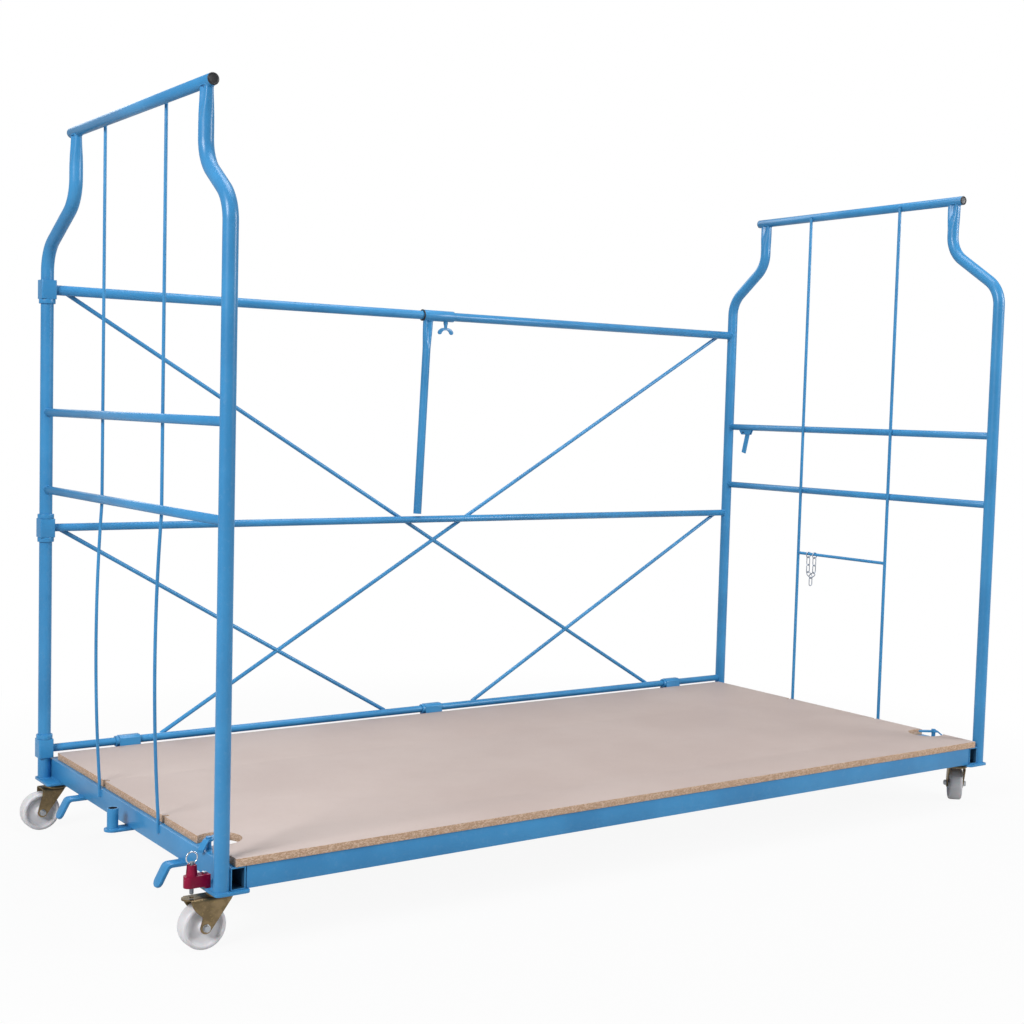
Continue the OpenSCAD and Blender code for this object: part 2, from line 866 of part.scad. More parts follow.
// Latch post on the end beam with its bolt
module latch_bolt(x) {
    translate([x, latch_y, beam_top])
        cylinder(d = latch_post_d, h = latch_z - seat_gap - beam_top, $fn = small_fine);
    translate([x, latch_y, latch_z + latch_t + seat_gap])
        hex_bolt(latch_bolt_d, 12, 4, latch_t + 2 * seat_gap + 1);
}

module right_latch_bolt() {
    color("silver") latch_bolt(latch_right_x);
}

// Lock pin with its cross hole for the ring
module lock_pin() {
    color("silver")
        translate([lock_x, lock_y, 0])
            difference() {
                union() {
                    translate([0, 0, lock_tip_z + 1.5])
                        cylinder(d = lock_pin_d, h = ring_eye_z + 4 - lock_tip_z - 1.5, $fn = fine);
                    translate([0, 0, lock_tip_z])
                        cylinder(d1 = lock_pin_d - 3, d2 = lock_pin_d, h = 1.5, $fn = fine);
                }
                translate([-10, 0, ring_eye_z])
                    rotate([0, 90, 0]) cylinder(d = ring_hole_d, h = 20, $fn = small_fine);
            }
}

module lock_ring() {
    color("gainsboro")
        translate([lock_x, lock_y, ring_eye_z + ring_mid_r])
            rotate([90, 0, 0])
                rotate_extrude($fn = fine)
                    translate([ring_mid_r, 0]) circle(d = ring_wire, $fn = small_fine);
}

// Chipboard with its cut-outs and slots
module deck_board() {
    left = xl + board_end_gap;
    right = xr - board_end_gap;
    front = yf - board_front;
    rear = yr - board_rear_gap;
    color("tan")
        translate([0, 0, board_z])
            linear_extrude(board_t)
                difference() {
                    translate([left, front]) square([right - left, rear - front]);
                    for (e = [[left, 1], [right, -1]]) {
                        translate([e[0] + e[1] * cutout_in, yf + cutout_y]) circle(cutout_r, $fn = fine);
                        for (y = rod_ys)
                            translate([e[0] - slot_depth, y - slot_w / 2])
                                square([2 * slot_depth, slot_w]);
                    }
                }
}

// Rectangular tube along X
module tube_x(x0, x1, y, z, w, h) {
    difference() {
        translate([x0, y, z]) cube([x1 - x0, w, h]);
        translate([x0 - cut, y + beam_wall, z + beam_wall])
            cube([x1 - x0 + 2 * cut, w - 2 * beam_wall, h - 2 * beam_wall]);
    }
}

module deck_front_beam() {
    color("steelblue")
        tube_x(deck_left, deck_right, front_beam_y, frame_beam_z, deck_beam_w, frame_beam_h);
}

module deck_rear_beam() {
    color("steelblue")
        tube_x(rear_beam_left, rear_beam_right, yr - deck_beam_w / 2, frame_beam_z,
            deck_beam_w, frame_beam_h);
}

// Square tubes from the front beam to the rear beam
module deck_cross_members() {
    first = deck_left + cross_inset;
    last = deck_right - cross_inset - cross_w;
    y0 = front_beam_y + deck_beam_w;
    y1 = yr - deck_beam_w / 2;
    z0 = board_z - cross_w;
    wall = 2;
    color("steelblue")
        for (i = [0 : cross_count - 1])
            translate([first + i * (last - first) / (cross_count - 1), y0, z0])
                difference() {
                    cube([cross_w, y1 - y0, cross_w]);
                    translate([wall, -cut, wall])
                        cube([cross_w - 2 * wall, y1 - y0 + 2 * cut, cross_w - 2 * wall]);
                }
}

// Half outline of a hinge strap round the bottom rail, at a distance from its inside
function strap_half(t) = let (r = rail_r + 0.4, k = t * 0.4142)
    [[r * 0.6 + k, r + t], [r + t, r * 0.6 + k], [r + t, -r * 0.4], [deck_beam_w / 2 + t, -2.1 * r]];

// Bent plate straps that hang the deck on the bottom rail
module deck_straps() {
    foot = board_z - back_bottom_z - 14;
    outer = strap_half(strap_t);
    inner = strap_half(0);
    flip = function(p) [-p[0], p[1]];
    outline = concat([[-deck_beam_w / 2 - strap_t, foot]],
        [for (i = [3 : -1 : 0]) flip(outer[i])],
        outer, [[deck_beam_w / 2 + strap_t, foot], [deck_beam_w / 2, foot]],
        [for (i = [3 : -1 : 0]) inner[i]],
        [for (p = inner) flip(p)], [[-deck_beam_w / 2, foot]]);
    color("steelblue")
        for (x = strap_xs)
            translate([x - strap_w / 2, yr, back_bottom_z])
                rotate([90, 0, 90])
                    linear_extrude(strap_w) polygon(outline);
}

// Turning latch: level nose over the pivot, grip that slopes down outwards
module latch_lever() {
    drop = latch_z - beam_top - 1.2;
    difference() {
        union() {
            cylinder(d = latch_eye_d, h = latch_t, $fn = fine);
            translate([0, -latch_w / 2, 0]) cube([latch_nose - latch_w / 2, latch_w, latch_t]);
            translate([latch_nose - latch_w / 2, 0, 0])
                cylinder(d = latch_w, h = latch_t, $fn = small_fine);
            translate([0, latch_w / 2, 0])
                rotate([90, 0, 0])
                    linear_extrude(latch_w)
                        polygon([[0, 0], [0, latch_t], [-latch_eye_d / 2 - 2, latch_t],
                            [-latch_grip, latch_t - drop], [-latch_grip, -drop],
                            [-latch_eye_d / 2 - 2, 0]]);
        }
        translate([0, 0, -cut])
            cylinder(d = latch_bolt_d + 2 * pin_play, h = latch_t + 2 * cut, $fn = fine);
    }
}

module left_latch() {
    color("steelblue")
        translate([latch_left_x, latch_y, latch_z])
            rotate([0, 0, latch_turn])
                latch_lever();
}

module right_latch() {
    color("steelblue")
        translate([latch_right_x, latch_y, latch_z])
            mirror([1, 0, 0])
                rotate([0, 0, latch_turn])
                    latch_lever();
}

// Chain link lying in the XZ plane, its upper inside at the origin
module chain_link() {
    straight = link_in - link_w;
    mid_r = (link_w + wire_d) / 2;
    translate([0, 0, -link_w / 2]) {
        for (z = [0, -straight])
            translate([0, 0, z])
                rotate([90, 0, 0])
                    rotate([0, 0, z == 0 ? 0 : 180])
                        rotate_extrude(angle = 180, $fn = fine)
                            translate([mid_r, 0]) circle(d = wire_d, $fn = small_fine);
        for (s = [-1, 1])
            translate([s * mid_r, 0, -straight])
                cylinder(d = wire_d, h = straight, $fn = small_fine);
    }
}

// One strand: ring round the bar, two hanging links and one that slants to the middle
module chain_strand(side) {
    translate([chain_x, chain_y + side * chain_span / 2, 0]) {
        translate([0, 0, eye_z])
            rotate([90, 0, 0])
                rotate_extrude($fn = fine)
                    translate([eye_r + wire_d / 2, 0]) circle(d = wire_d, $fn = small_fine);
        translate([0, 0, hang_z]) rotate([0, 0, 90]) chain_link();
        translate([0, 0, hang_z - link_pitch]) chain_link();
        translate([side * link_offset, 0, slant_z])
            rotate([-side * slant_angle, 0, 0])
                translate([0, 0, link_w / 2])
                    rotate([0, 0, 90]) chain_link();
    }
}

module safety_chain() {
    color("lightgray") {
        for (s = [-1, 1]) chain_strand(s);
        translate([chain_x, chain_y, slant_z - arc_gap * cos(slant_angle) - link_w / 2 + link_sag])
            chain_link();
    }
}

// Bushes between the top rail and the divider's sleeve; the left one has a flange
module divider_bushes() {
    color("dimgray")
        translate([divider_left, yr, back_top_z])
            rotate([0, 90, 0])
                difference() {
                    union() {
                        cylinder(r = bush_out_r, h = bush_l, $fn = fine);
                        translate([0, 0, -flange_t - 0.3])
                            cylinder(r = divider_sleeve_r + 1, h = flange_t, $fn = fine);
                        translate([0, 0, -1]) cylinder(r = bush_out_r, h = 2, $fn = fine);
                        translate([0, 0, divider_length - bush_l])
                            cylinder(r = bush_out_r, h = bush_l, $fn = fine);
                    }
                    translate([0, 0, -10]) cylinder(r = bush_in_r, h = divider_length + 20, $fn = fine);
                }
}

// Sleeve that turns on the bushes, with the boss of the wing screw
module divider_sleeve() {
    color("steelblue")
        difference() {
            union() {
                translate([divider_left, yr, back_top_z])
                    rotate([0, 90, 0]) cylinder(r = divider_sleeve_r, h = divider_length, $fn = fine);
                translate([wing_x, yr, back_top_z - divider_sleeve_r - boss_h])
                    cylinder(d = 14, h = boss_h + divider_sleeve_r / 2, $fn = small_fine);
            }
            translate([divider_left - cut, yr, back_top_z])
                rotate([0, 90, 0])
                    cylinder(r = divider_sleeve_in, h = divider_length + 2 * cut, $fn = fine);
            translate([wing_x, yr, back_top_z - divider_sleeve_r - boss_h - cut])
                cylinder(d = wing_d + 2 * pin_play, h = divider_sleeve_r + boss_h, $fn = fine);
        }
}

// Hanging tube of the divider, flattened over its top stretch
module divider_arm() {
    lean = asin(divider_lean / divider_reach);
    color("steelblue")
        difference() {
            translate([divider_arm_x, divider_arm_y, back_top_z])
                rotate([0, lean, 0]) {
                    translate([0, 0, -divider_reach])
                        upright(0, 0, 0, divider_reach - arm_pinch, divider_arm_d, rail_wall);
                    translate([0, 0, -arm_pinch])
                        rotate([0, 0, 90])
                            pinch(divider_arm_d, arm_pinch, arm_pinch_t, arm_pinch_w);
                }
            translate([divider_left - cut, yr, back_top_z])
                rotate([0, 90, 0])
                    cylinder(r = divider_sleeve_r, h = divider_length, $fn = fine);
        }
}

// Wing screw that clamps the sleeve on the rail
module wing_screw() {
    tip_z = back_top_z - top_r - seat_gap;
    neck_z = back_top_z - divider_sleeve_r - boss_h - seat_gap;
    color("steelblue")
        translate([wing_x, yr, 0]) {
            translate([0, 0, neck_z]) cylinder(d = wing_d, h = tip_z - neck_z, $fn = fine);
            translate([0, 0, neck_z - wing_neck])
                cylinder(d1 = 9, d2 = 12, h = wing_neck, $fn = small_fine);
            translate([0, 2.5, neck_z - wing_neck - 2])
                rotate([90, 0, 0])
                    linear_extrude(5)
                        for (s = [-1, 1]) {
                            translate([s * 21.5, -11]) circle(d = 13, $fn = small_fine);
                            polygon([[0, 4], [s * 14, 3], [s * 24, -3.5], [s * 27.7, -9],
                                [s * 15.5, -13], [s * 9, -6], [0, -4]]);
                        }
        }
}

// Fork of a caster with the swivel axis at the origin, trailing towards -X
module fork(lip) {
    difference() {
        union() {
            translate([0, 0, crown_z]) cylinder(r = crown_r, h = crown_t, $fn = fine);
            translate([-crown_r - 6, -fork_half - fork_t, crown_z])
                cube([crown_r + 6, 2 * (fork_half + fork_t), crown_t]);
            if (lip)
                translate([-trail - shoulder, -fork_half - fork_t, crown_z])
                    cube([trail + shoulder, 2 * (fork_half + fork_t), crown_t]);
            if (lip) {
                translate([-lip_reach + lip_w / 2, -lip_w / 2, crown_z])
                    cube([lock_reach, lip_w, crown_t]);
                translate([-lip_reach + lip_w / 2, 0, crown_z])
                    cylinder(d = lip_w, h = crown_t, $fn = fine);
            }
            translate([0, 0, crown_top - cut])
                difference() {
                    cylinder(d = head_d - 8, h = head_z - seat_gap - crown_top + cut, $fn = fine);
                    translate([0, 0, -cut]) cylinder(d = head_d - 22, h = 20, $fn = fine);
                }
            for (s = [-1, 1])
                translate([0, s * (fork_half + fork_t / 2) + fork_t / 2, 0])
                    rotate([90, 0, 0])
                        linear_extrude(fork_t)
                            union() {
                                translate([-trail, axle_z]) circle(r = 13, $fn = fine);
                                polygon([[-trail - 13, axle_z + 2], [-crown_r - 6, crown_top],
                                    [22, crown_top], [-trail + 11, axle_z - 7]]);
                                if (lip)
                                    polygon([[-trail, axle_z + 17], [-trail - 20, axle_z + 31],
                                        [-trail - shoulder + 3, axle_z + 48],
                                        [-trail - shoulder, crown_top], [0, crown_top]]);
                            }
        }
        translate([0, 0, crown_z - cut])
            cylinder(d = king_d + 2 * pin_play, h = 30, $fn = fine);
        translate([-trail, fork_half + fork_t + cut, axle_z])
            rotate([90, 0, 0])
                cylinder(d = axle_d, h = 2 * (fork_half + fork_t + cut), $fn = fine);
        if (lip)
            translate([-lock_reach, 0, crown_z - cut])
                cylinder(d = lock_pin_d + 2, h = 30, $fn = fine);
    }
}

// Wheel with recessed sides round its hub
module wheel() {
    r = wheel_d / 2;
    h = wheel_w / 2;
    translate([-trail, 0, axle_z])
        rotate([90, 0, 0])
            rotate_extrude($fn = 96)
                polygon([[axle_d / 2 + pin_play, -h - 2], [13, -h - 2], [13, -h + 4], [18, -h + 7],
                    [r - 12, -h + 5], [r - 8, -h], [r - tread_round, -h], [r - 1, -h + 3], [r, -h + 8],
                    [r, h - 8], [r - 1, h - 3], [r - tread_round, h], [r - 8, h], [r - 12, h - 5],
                    [18, h - 7],
                    [13, h - 4], [13, h + 2], [axle_d / 2 + pin_play, h + 2]]);
}

// Axle bolt with its head, washer and nut outside the fork legs
module axle() {
    half = fork_half + fork_t;
    head_across = 16.5;
    translate([-trail, 0, axle_z])
        rotate([90, 0, 0]) {
            translate([0, 0, -half - 9]) cylinder(d = axle_d, h = 2 * half + 12, $fn = fine);
            translate([0, 0, half]) cylinder(d = head_across + 0.5, h = 1.5, $fn = fine);
            translate([0, 0, half + 1.5]) cylinder(d = head_across, h = 5, $fn = 6);
            translate([0, 0, -half - 8]) cylinder(d = head_across, h = 8, $fn = 6);
        }
}

// Places a caster part at one corner
module at_caster(x, y, yaw) {
    translate([x, y, 0])
        rotate([0, 0, yaw])
            children();
}

module fork_front_left() { color("darkkhaki") at_caster(swivel_left_x, swivel_front_y, 0) fork(true); }
module wheel_front_left() { color("whitesmoke") at_caster(swivel_left_x, swivel_front_y, 0) wheel(); }
module axle_front_left() { color("silver") at_caster(swivel_left_x, swivel_front_y, 0) axle(); }
module fork_rear_left() { color("darkkhaki") at_caster(swivel_left_x, swivel_rear_y, 0) fork(false); }
module wheel_rear_left() { color("whitesmoke") at_caster(swivel_left_x, swivel_rear_y, 0) wheel(); }
module axle_rear_left() { color("silver") at_caster(swivel_left_x, swivel_rear_y, 0) axle(); }
module fork_front_right() {
    color("darkkhaki") at_caster(swivel_right_x, swivel_front_right_y, front_right_yaw) fork(false);
}
module wheel_front_right() {
    color("whitesmoke") at_caster(swivel_right_x, swivel_front_right_y, front_right_yaw) wheel();
}
module axle_front_right() {
    color("silver") at_caster(swivel_right_x, swivel_front_right_y, front_right_yaw) axle();
}
module fork_rear_right() { color("darkkhaki") at_caster(swivel_right_x, swivel_rear_y, 0) fork(false); }
module wheel_rear_right() { color("whitesmoke") at_caster(swivel_right_x, swivel_rear_y, 0) wheel(); }
module axle_rear_right() { color("silver") at_caster(swivel_right_x, swivel_rear_y, 0) axle(); }

module right_front_post() { front_post(xr, right_front_shift, right_front_angle, right_bend_top_z); }
module right_rear_post() { rear_post(xr, right_rear_shift, right_rear_angle, right_bend_top_z); }
module right_top_bar() { top_bar(xr, right_front_shift, right_rear_shift); }
module right_bar_caps() { bar_caps(xr, right_front_shift, right_rear_shift); }
module right_side_rails() { side_rails(xr); }
module right_end_beam() { end_beam(xr - beam_in); }
module right_foot_plates() { foot_plates(xr - plate_in); }
module right_swivel_heads() { swivel_heads(swivel_right_x, swivel_front_right_y); }
module back_top_rail() { back_rail(back_top_z, top_tube_d); }
module back_middle_rail() { back_rail(back_middle_z, rail_d); }
module back_bottom_rail() { back_rail(back_bottom_z, rail_d); }
module left_front_post() { front_post(xl, left_front_shift, left_front_angle, left_bend_top_z); }
module left_rear_post() { rear_post(xl, left_rear_shift, left_rear_angle, left_bend_top_z); }
module left_top_bar() { top_bar(xl, left_front_shift, left_rear_shift); }
module left_bar_caps() { bar_caps(xl, left_front_shift, left_rear_shift); }
module left_side_rails() { side_rails(xl); }
module left_end_beam() { end_beam(xl + post_r); }
module left_foot_plates() { foot_plates(xl - plate_out); }
module left_swivel_heads() { swivel_heads(swivel_left_x, swivel_front_y); }

right_front_post();
right_rear_post();
right_top_bar();
right_bar_caps();
right_side_rails();
right_rods();
chain_bar();
right_end_beam();
right_foot_plates();
right_swivel_heads();
back_top_rail();
back_middle_rail();
back_bottom_rail();
braces_falling_right();
braces_falling_left();
hinge_sleeves();
rail_stop_rings();
hold_lever_bracket();
hold_lever();
left_front_post();
left_rear_post();
left_top_bar();
left_bar_caps();
left_side_rails();
left_rods();
left_end_beam();
left_foot_plates();
left_swivel_heads();
post_stop_rings();
coupling_socket();
coupling_hooks();
lock_housing();
left_bolts();
lock_pin();
lock_ring();
deck_board();
deck_front_beam();
deck_rear_beam();
deck_cross_members();
deck_straps();
left_latch();
right_latch();
right_latch_bolt();
safety_chain();
divider_bushes();
divider_sleeve();
divider_arm();
wing_screw();
fork_front_left();
wheel_front_left();
axle_front_left();
fork_rear_left();
wheel_rear_left();
axle_rear_left();
fork_front_right();
wheel_front_right();
axle_front_right();
fork_rear_right();
wheel_rear_right();
axle_rear_right();
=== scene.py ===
"""Looks of the folding furniture trolley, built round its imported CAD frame."""

import json
import logging
import math
from collections.abc import Iterable, Sequence
from dataclasses import dataclass, field, replace
from enum import Enum

import bmesh
import bpy
from mathutils import Matrix, Vector
from mathutils.geometry import tessellate_polygon

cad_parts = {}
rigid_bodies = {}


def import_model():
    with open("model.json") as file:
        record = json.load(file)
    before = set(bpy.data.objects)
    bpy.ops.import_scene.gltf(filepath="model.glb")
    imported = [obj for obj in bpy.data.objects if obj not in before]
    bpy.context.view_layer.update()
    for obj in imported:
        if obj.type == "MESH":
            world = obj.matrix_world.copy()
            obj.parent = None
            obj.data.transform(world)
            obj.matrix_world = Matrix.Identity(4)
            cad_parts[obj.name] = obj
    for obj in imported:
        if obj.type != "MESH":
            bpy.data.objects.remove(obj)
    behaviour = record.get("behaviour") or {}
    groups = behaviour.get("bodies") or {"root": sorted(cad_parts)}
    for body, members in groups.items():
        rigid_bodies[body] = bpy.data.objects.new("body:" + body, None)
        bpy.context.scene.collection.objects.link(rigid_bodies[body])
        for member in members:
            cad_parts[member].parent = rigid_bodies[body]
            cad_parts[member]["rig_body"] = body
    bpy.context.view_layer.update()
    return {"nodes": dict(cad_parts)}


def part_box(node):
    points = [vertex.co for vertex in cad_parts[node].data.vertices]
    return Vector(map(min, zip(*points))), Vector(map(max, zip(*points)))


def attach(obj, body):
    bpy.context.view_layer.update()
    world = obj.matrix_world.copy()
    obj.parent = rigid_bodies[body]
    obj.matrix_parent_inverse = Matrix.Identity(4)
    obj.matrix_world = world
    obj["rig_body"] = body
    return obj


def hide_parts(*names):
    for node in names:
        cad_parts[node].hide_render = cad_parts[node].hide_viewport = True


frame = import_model()
MM = 0.001
log = logging.getLogger("trolley")

Colour = tuple[float, float, float]
Point = Sequence[float]
Span = tuple[float, float]


def srgb(red: int, green: int, blue: int) -> Colour:
    """A colour given by its screen values from 0 to 255, as linear light."""
    return tuple(
        (v / 255 / 12.92) if v < 11 else ((v / 255 + 0.055) / 1.055) ** 2.4
        for v in (red, green, blue)
    )


# Node graphs


class Value:
    """An output socket that takes part in arithmetic; each step adds one Math node."""

    def __init__(self, graph: "Graph", socket: bpy.types.NodeSocket) -> None:
        """Holds the socket and the graph that it belongs to."""
        self.graph = graph
        self.socket = socket

    def _math(self, operation: str, *terms: object) -> "Value":
        """A Math node of that operation over the terms."""
        return self.graph.node(
            "ShaderNodeMath", {"operation": operation}, dict(enumerate(terms))
        )

    def __add__(self, other: object) -> "Value":
        """This plus other."""
        return self._math("ADD", self, other)

    __radd__ = __add__

    def __sub__(self, other: object) -> "Value":
        """This minus other."""
        return self._math("SUBTRACT", self, other)

    def __rsub__(self, other: object) -> "Value":
        """Other minus this."""
        return self._math("SUBTRACT", other, self)

    def __mul__(self, other: object) -> "Value":
        """This times other."""
        return self._math("MULTIPLY", self, other)

    __rmul__ = __mul__

    def __truediv__(self, other: object) -> "Value":
        """This divided by other."""
        return self._math("DIVIDE", self, other)

    def __rtruediv__(self, other: object) -> "Value":
        """Other divided by this."""
        return self._math("DIVIDE", other, self)

    def sine(self) -> "Value":
        """The sine of this, in radians."""
        return self._math("SINE", self)

    def over(self, other: object) -> "Value":
        """The larger of this and other."""
        return self._math("MAXIMUM", self, other)

    def step(self, low: float, high: float) -> "Value":
        """Rises smoothly from 0 at low to 1 at high, or falls where low is the larger.

        Args:
            low: Where the rise starts.
            high: Where it ends.

        Returns:
            The share, from 0 to 1.
        """
        rising = low < high
        first, last = (low, high) if rising else (high, low)
        start, end = (0.0, 1.0) if rising else (1.0, 0.0)
        links = {"From Min": first, "From Max": last, "To Min": start, "To Max": end}
        return self.graph.node(
            "ShaderNodeMapRange",
            {"interpolation_type": "SMOOTHSTEP"},
            {"Value": self, **links},
        )


class Graph:
    """Builds the nodes of a material, a world or a geometry tree."""

    def __init__(self, tree: bpy.types.NodeTree) -> None:
        """Empties the tree and keeps it."""
        tree.nodes.clear()
        self.tree = tree

    def node(
        self,
        kind: str,
        settings: dict[str, object] | None = None,
        inputs: dict[object, object] | None = None,
        output: object = 0,
    ) -> Value:
        """Adds a node.

        Args:
            kind: The node's type.
            settings: Its properties, set before its sockets.
            inputs: Values or links of its sockets, by name or index.
            output: Name or index of the output socket that is wanted.

        Returns:
            The output socket, ready for arithmetic; None for a node without outputs.
        """
        made = self.tree.nodes.new(kind)
        for name, setting in (settings or {}).items():
            setattr(made, name, setting)
        for key, given in (inputs or {}).items():
            if isinstance(given, Value):
                self.tree.links.new(given.socket, made.inputs[key])
            elif hasattr(made.inputs[key].default_value, "__len__") and len(given) == 3:
                space = made.inputs[key].default_value
                space[:] = (*given, 1.0)[: len(space)]
            else:
                made.inputs[key].default_value = given
        return Value(self, made.outputs[output]) if made.outputs else None

    def place(self, stretch: Point = (1, 1, 1), turn: Point = (0, 0, 0)) -> Value:
        """Object coordinates, stretched and turned.

        Args:
            stretch: Factor along each axis.
            turn: Euler turn in radians.

        Returns:
            The mapped vector.
        """
        where = self.node("ShaderNodeTexCoord", output="Object")
        if tuple(stretch) == (1, 1, 1) and tuple(turn) == (0, 0, 0):
            return where
        links = {"Vector": where, "Scale": stretch, "Rotation": turn}
        return self.node("ShaderNodeMapping", inputs=links)

    def noise(
        self, where: Value, scale: float, detail: float = 2, rough: float = 0.5
    ) -> Value:
        """Fractal noise from 0 to 1, about scale features to a metre."""
        links = {"Vector": where, "Scale": scale, "Detail": detail, "Roughness": rough}
        return self.node("ShaderNodeTexNoise", inputs=links)

    def cells(self, where: Value, scale: float, output: str = "Distance") -> Value:
        """Voronoi cells, about scale of them to a metre."""
        links = {"Vector": where, "Scale": scale}
        return self.node("ShaderNodeTexVoronoi", inputs=links, output=output)

    def mix(self, share: object, first: object, second: object) -> Value:
        """Blends two colours by a share from 0 to 1."""
        links = {0: share, 6: first, 7: second}
        return self.node("ShaderNodeMix", {"data_type": "RGBA"}, links, output=2)

    def bump(self, height: Value, depth: float, strength: float) -> Value:
        """Normals of a relief.

        Args:
            height: The relief, from 0 to 1.
            depth: Its depth in metres.
            strength: How much of it shows.

        Returns:
            The changed normals.
        """
        links = {"Height": height, "Distance": depth, "Strength": strength}
        return self.node("ShaderNodeBump", inputs=links)

    def axes(self, where: Value) -> list[Value]:
        """X, Y and Z of a vector."""
        return [
            self.node("ShaderNodeSeparateXYZ", inputs={0: where}, output=axis)
            for axis in "XYZ"
        ]


def shading(block: bpy.types.ID) -> Graph:
    """The emptied nodes of a material or a world."""
    block.use_nodes = True
    return Graph(block.node_tree)


# Finishes


@dataclass(frozen=True)
class Finish:
    """A surface finish; each kind says what its shader gets."""

    name: str
    slot: str

    def surface(self, graph: Graph) -> dict[str, object]:
        """The shader's socket values and links."""
        raise NotImplementedError

    def material(self) -> bpy.types.Material:
        """The finish's material, made once.

        Returns:
            The material.
        """
        found = bpy.data.materials.get(self.name)
        if found:
            return found
        made = bpy.data.materials.new(self.name)
        graph = shading(made)
        shader = graph.node("ShaderNodeBsdfPrincipled", inputs=self.surface(graph))
        graph.node("ShaderNodeOutputMaterial", inputs={"Surface": shader})
        return made


@dataclass(frozen=True)
class PowderCoat(Finish):
    """Baked powder paint on steel: orange peel, slow tone drift, dust, rare nicks, and
    painted shade inside its hollows.
    """

    deep: Colour
    light: Colour
    gloss: float = 0.28
    coat: float = 0.15
    shine: float = 0.3
    # Box or bore of a hollow, whose inside gets painted shade.
    hollow: tuple[Span, Span] | None = None
    bore: tuple[float, float, float] | None = None

    def painted_shade_inside(self, graph: Graph, where: Value) -> Value | None:
        """1 inside a tube, darkened there as painted shade over uncoated steel: a box in
        X and Z, or a bore along Z.

        Args:
            graph: The material's nodes.
            where: Object coordinates.

        Returns:
            The share of painted shade, or None on a part without a hollow.
        """
        x, y, z = graph.axes(where)
        fade = 0.3 * MM
        if self.hollow:
            share = 1.0
            for value, (low, high) in zip((x, z), self.hollow):
                share = value.step(low, low + fade) * share
                share = value.step(high, high - fade) * share
            return share
        if self.bore:
            at_x, at_y, radius = self.bore
            apart = (x - at_x) * (x - at_x) + (y - at_y) * (y - at_y)
            return apart.step((radius + fade) ** 2, radius**2)
        return None

    def surface(self, graph: Graph) -> dict[str, object]:
        """Paint whose peel, dust and nicks come from noises of their real sizes.

        Args:
            graph: The material's nodes.

        Returns:
            The shader's socket values and links.
        """
        where = graph.place()
        drift = graph.noise(where, 5.5, 3)
        peel = graph.noise(where, 430, 2, 0.45)
        dust = graph.noise(where, 85, 6, 0.72)
        spots = graph.noise(where, 210, 1).step(0.74, 0.79)
        worn = graph.noise(where, 7.5, 2).step(0.64, 0.76)
        nicks = spots * worn
        paint = graph.mix(drift.step(0.3, 0.7), self.deep, self.light)
        dusty = graph.mix(dust.step(0.5, 0.85) * 0.1, paint, srgb(190, 205, 215))
        colour = graph.mix(nicks * 0.5, dusty, srgb(96, 104, 112))
        # Inside a hollow the colour is pulled to near black: painted shade.
        inside_shade = self.painted_shade_inside(graph, where)
        if inside_shade is not None:
            colour = graph.mix(inside_shade, colour, srgb(34, 36, 42))
        return {
            "Base Color": colour,
            "Roughness": self.gloss + dust * 0.14 + nicks * 0.25,
            "Normal": graph.bump(peel - nicks * 0.6, 0.05 * MM, 0.3),
            "Specular IOR Level": self.shine,
            "Coat Weight": self.coat,
            "Coat Roughness": 0.16,
        }


@dataclass(frozen=True)
class Chipboard(Finish):
    """Flake board: smooth sealed faces, open sawn edges."""

    bottom: float
    top: float
    face: Colour = srgb(186, 171, 165)
    edge: Colour = srgb(200, 170, 146)

    def surface(self, graph: Graph) -> dict[str, object]:
        """Faces and edges are told apart by their height in the board.

        Args:
            graph: The material's nodes.

        Returns:
            The shader's socket values and links.
        """
        where = graph.place()
        height = graph.axes(where)[2]
        skin = 0.35 * MM
        inside = height.step(self.bottom, self.bottom + skin) * height.step(
            self.top, self.top - skin
        )
        fine = graph.noise(where, 900, 4, 0.65)
        chips = graph.cells(graph.place((1, 1, 1.6)), 310, "Color")
        tone = graph.node("ShaderNodeSeparateColor", inputs={0: chips}, output=0)
        strands = graph.noise(graph.place((0.35, 1, 1), (0, 0, 0.5)), 260, 5, 0.7)
        cross = graph.noise(graph.place((1, 0.35, 1), (0, 0, -0.3)), 230, 5, 0.7)
        specks = (strands * cross).step(0.33, 0.42)
        pale = (strands + cross).step(0.86, 0.66)
        cloud = graph.noise(where, 3.2, 4, 0.6)
        face = graph.mix(cloud.step(0.3, 0.7), self.face, srgb(180, 164, 158))
        face = graph.mix(specks * 0.34, face, srgb(150, 124, 104))
        face = graph.mix(pale * 0.3, face, srgb(200, 188, 180))
        dark = graph.mix(tone.step(0.15, 0.9), srgb(174, 142, 116), self.edge)
        chipped = (tone * fine).step(0.32, 0.5) * 0.7
        grains = graph.mix(chipped, dark, srgb(214, 190, 168))
        sawn = graph.mix(fine.step(0.36, 0.22) * 0.55, grains, srgb(120, 92, 70))
        relief = fine * (0.2 + inside * 0.8) - specks * 0.25
        return {
            "Base Color": graph.mix(inside, face, sawn),
            "Roughness": 0.52 + inside * 0.33 + specks * 0.08,
            "Normal": graph.bump(relief, 0.35 * MM, 0.5),
            "Specular IOR Level": 0.35,
        }


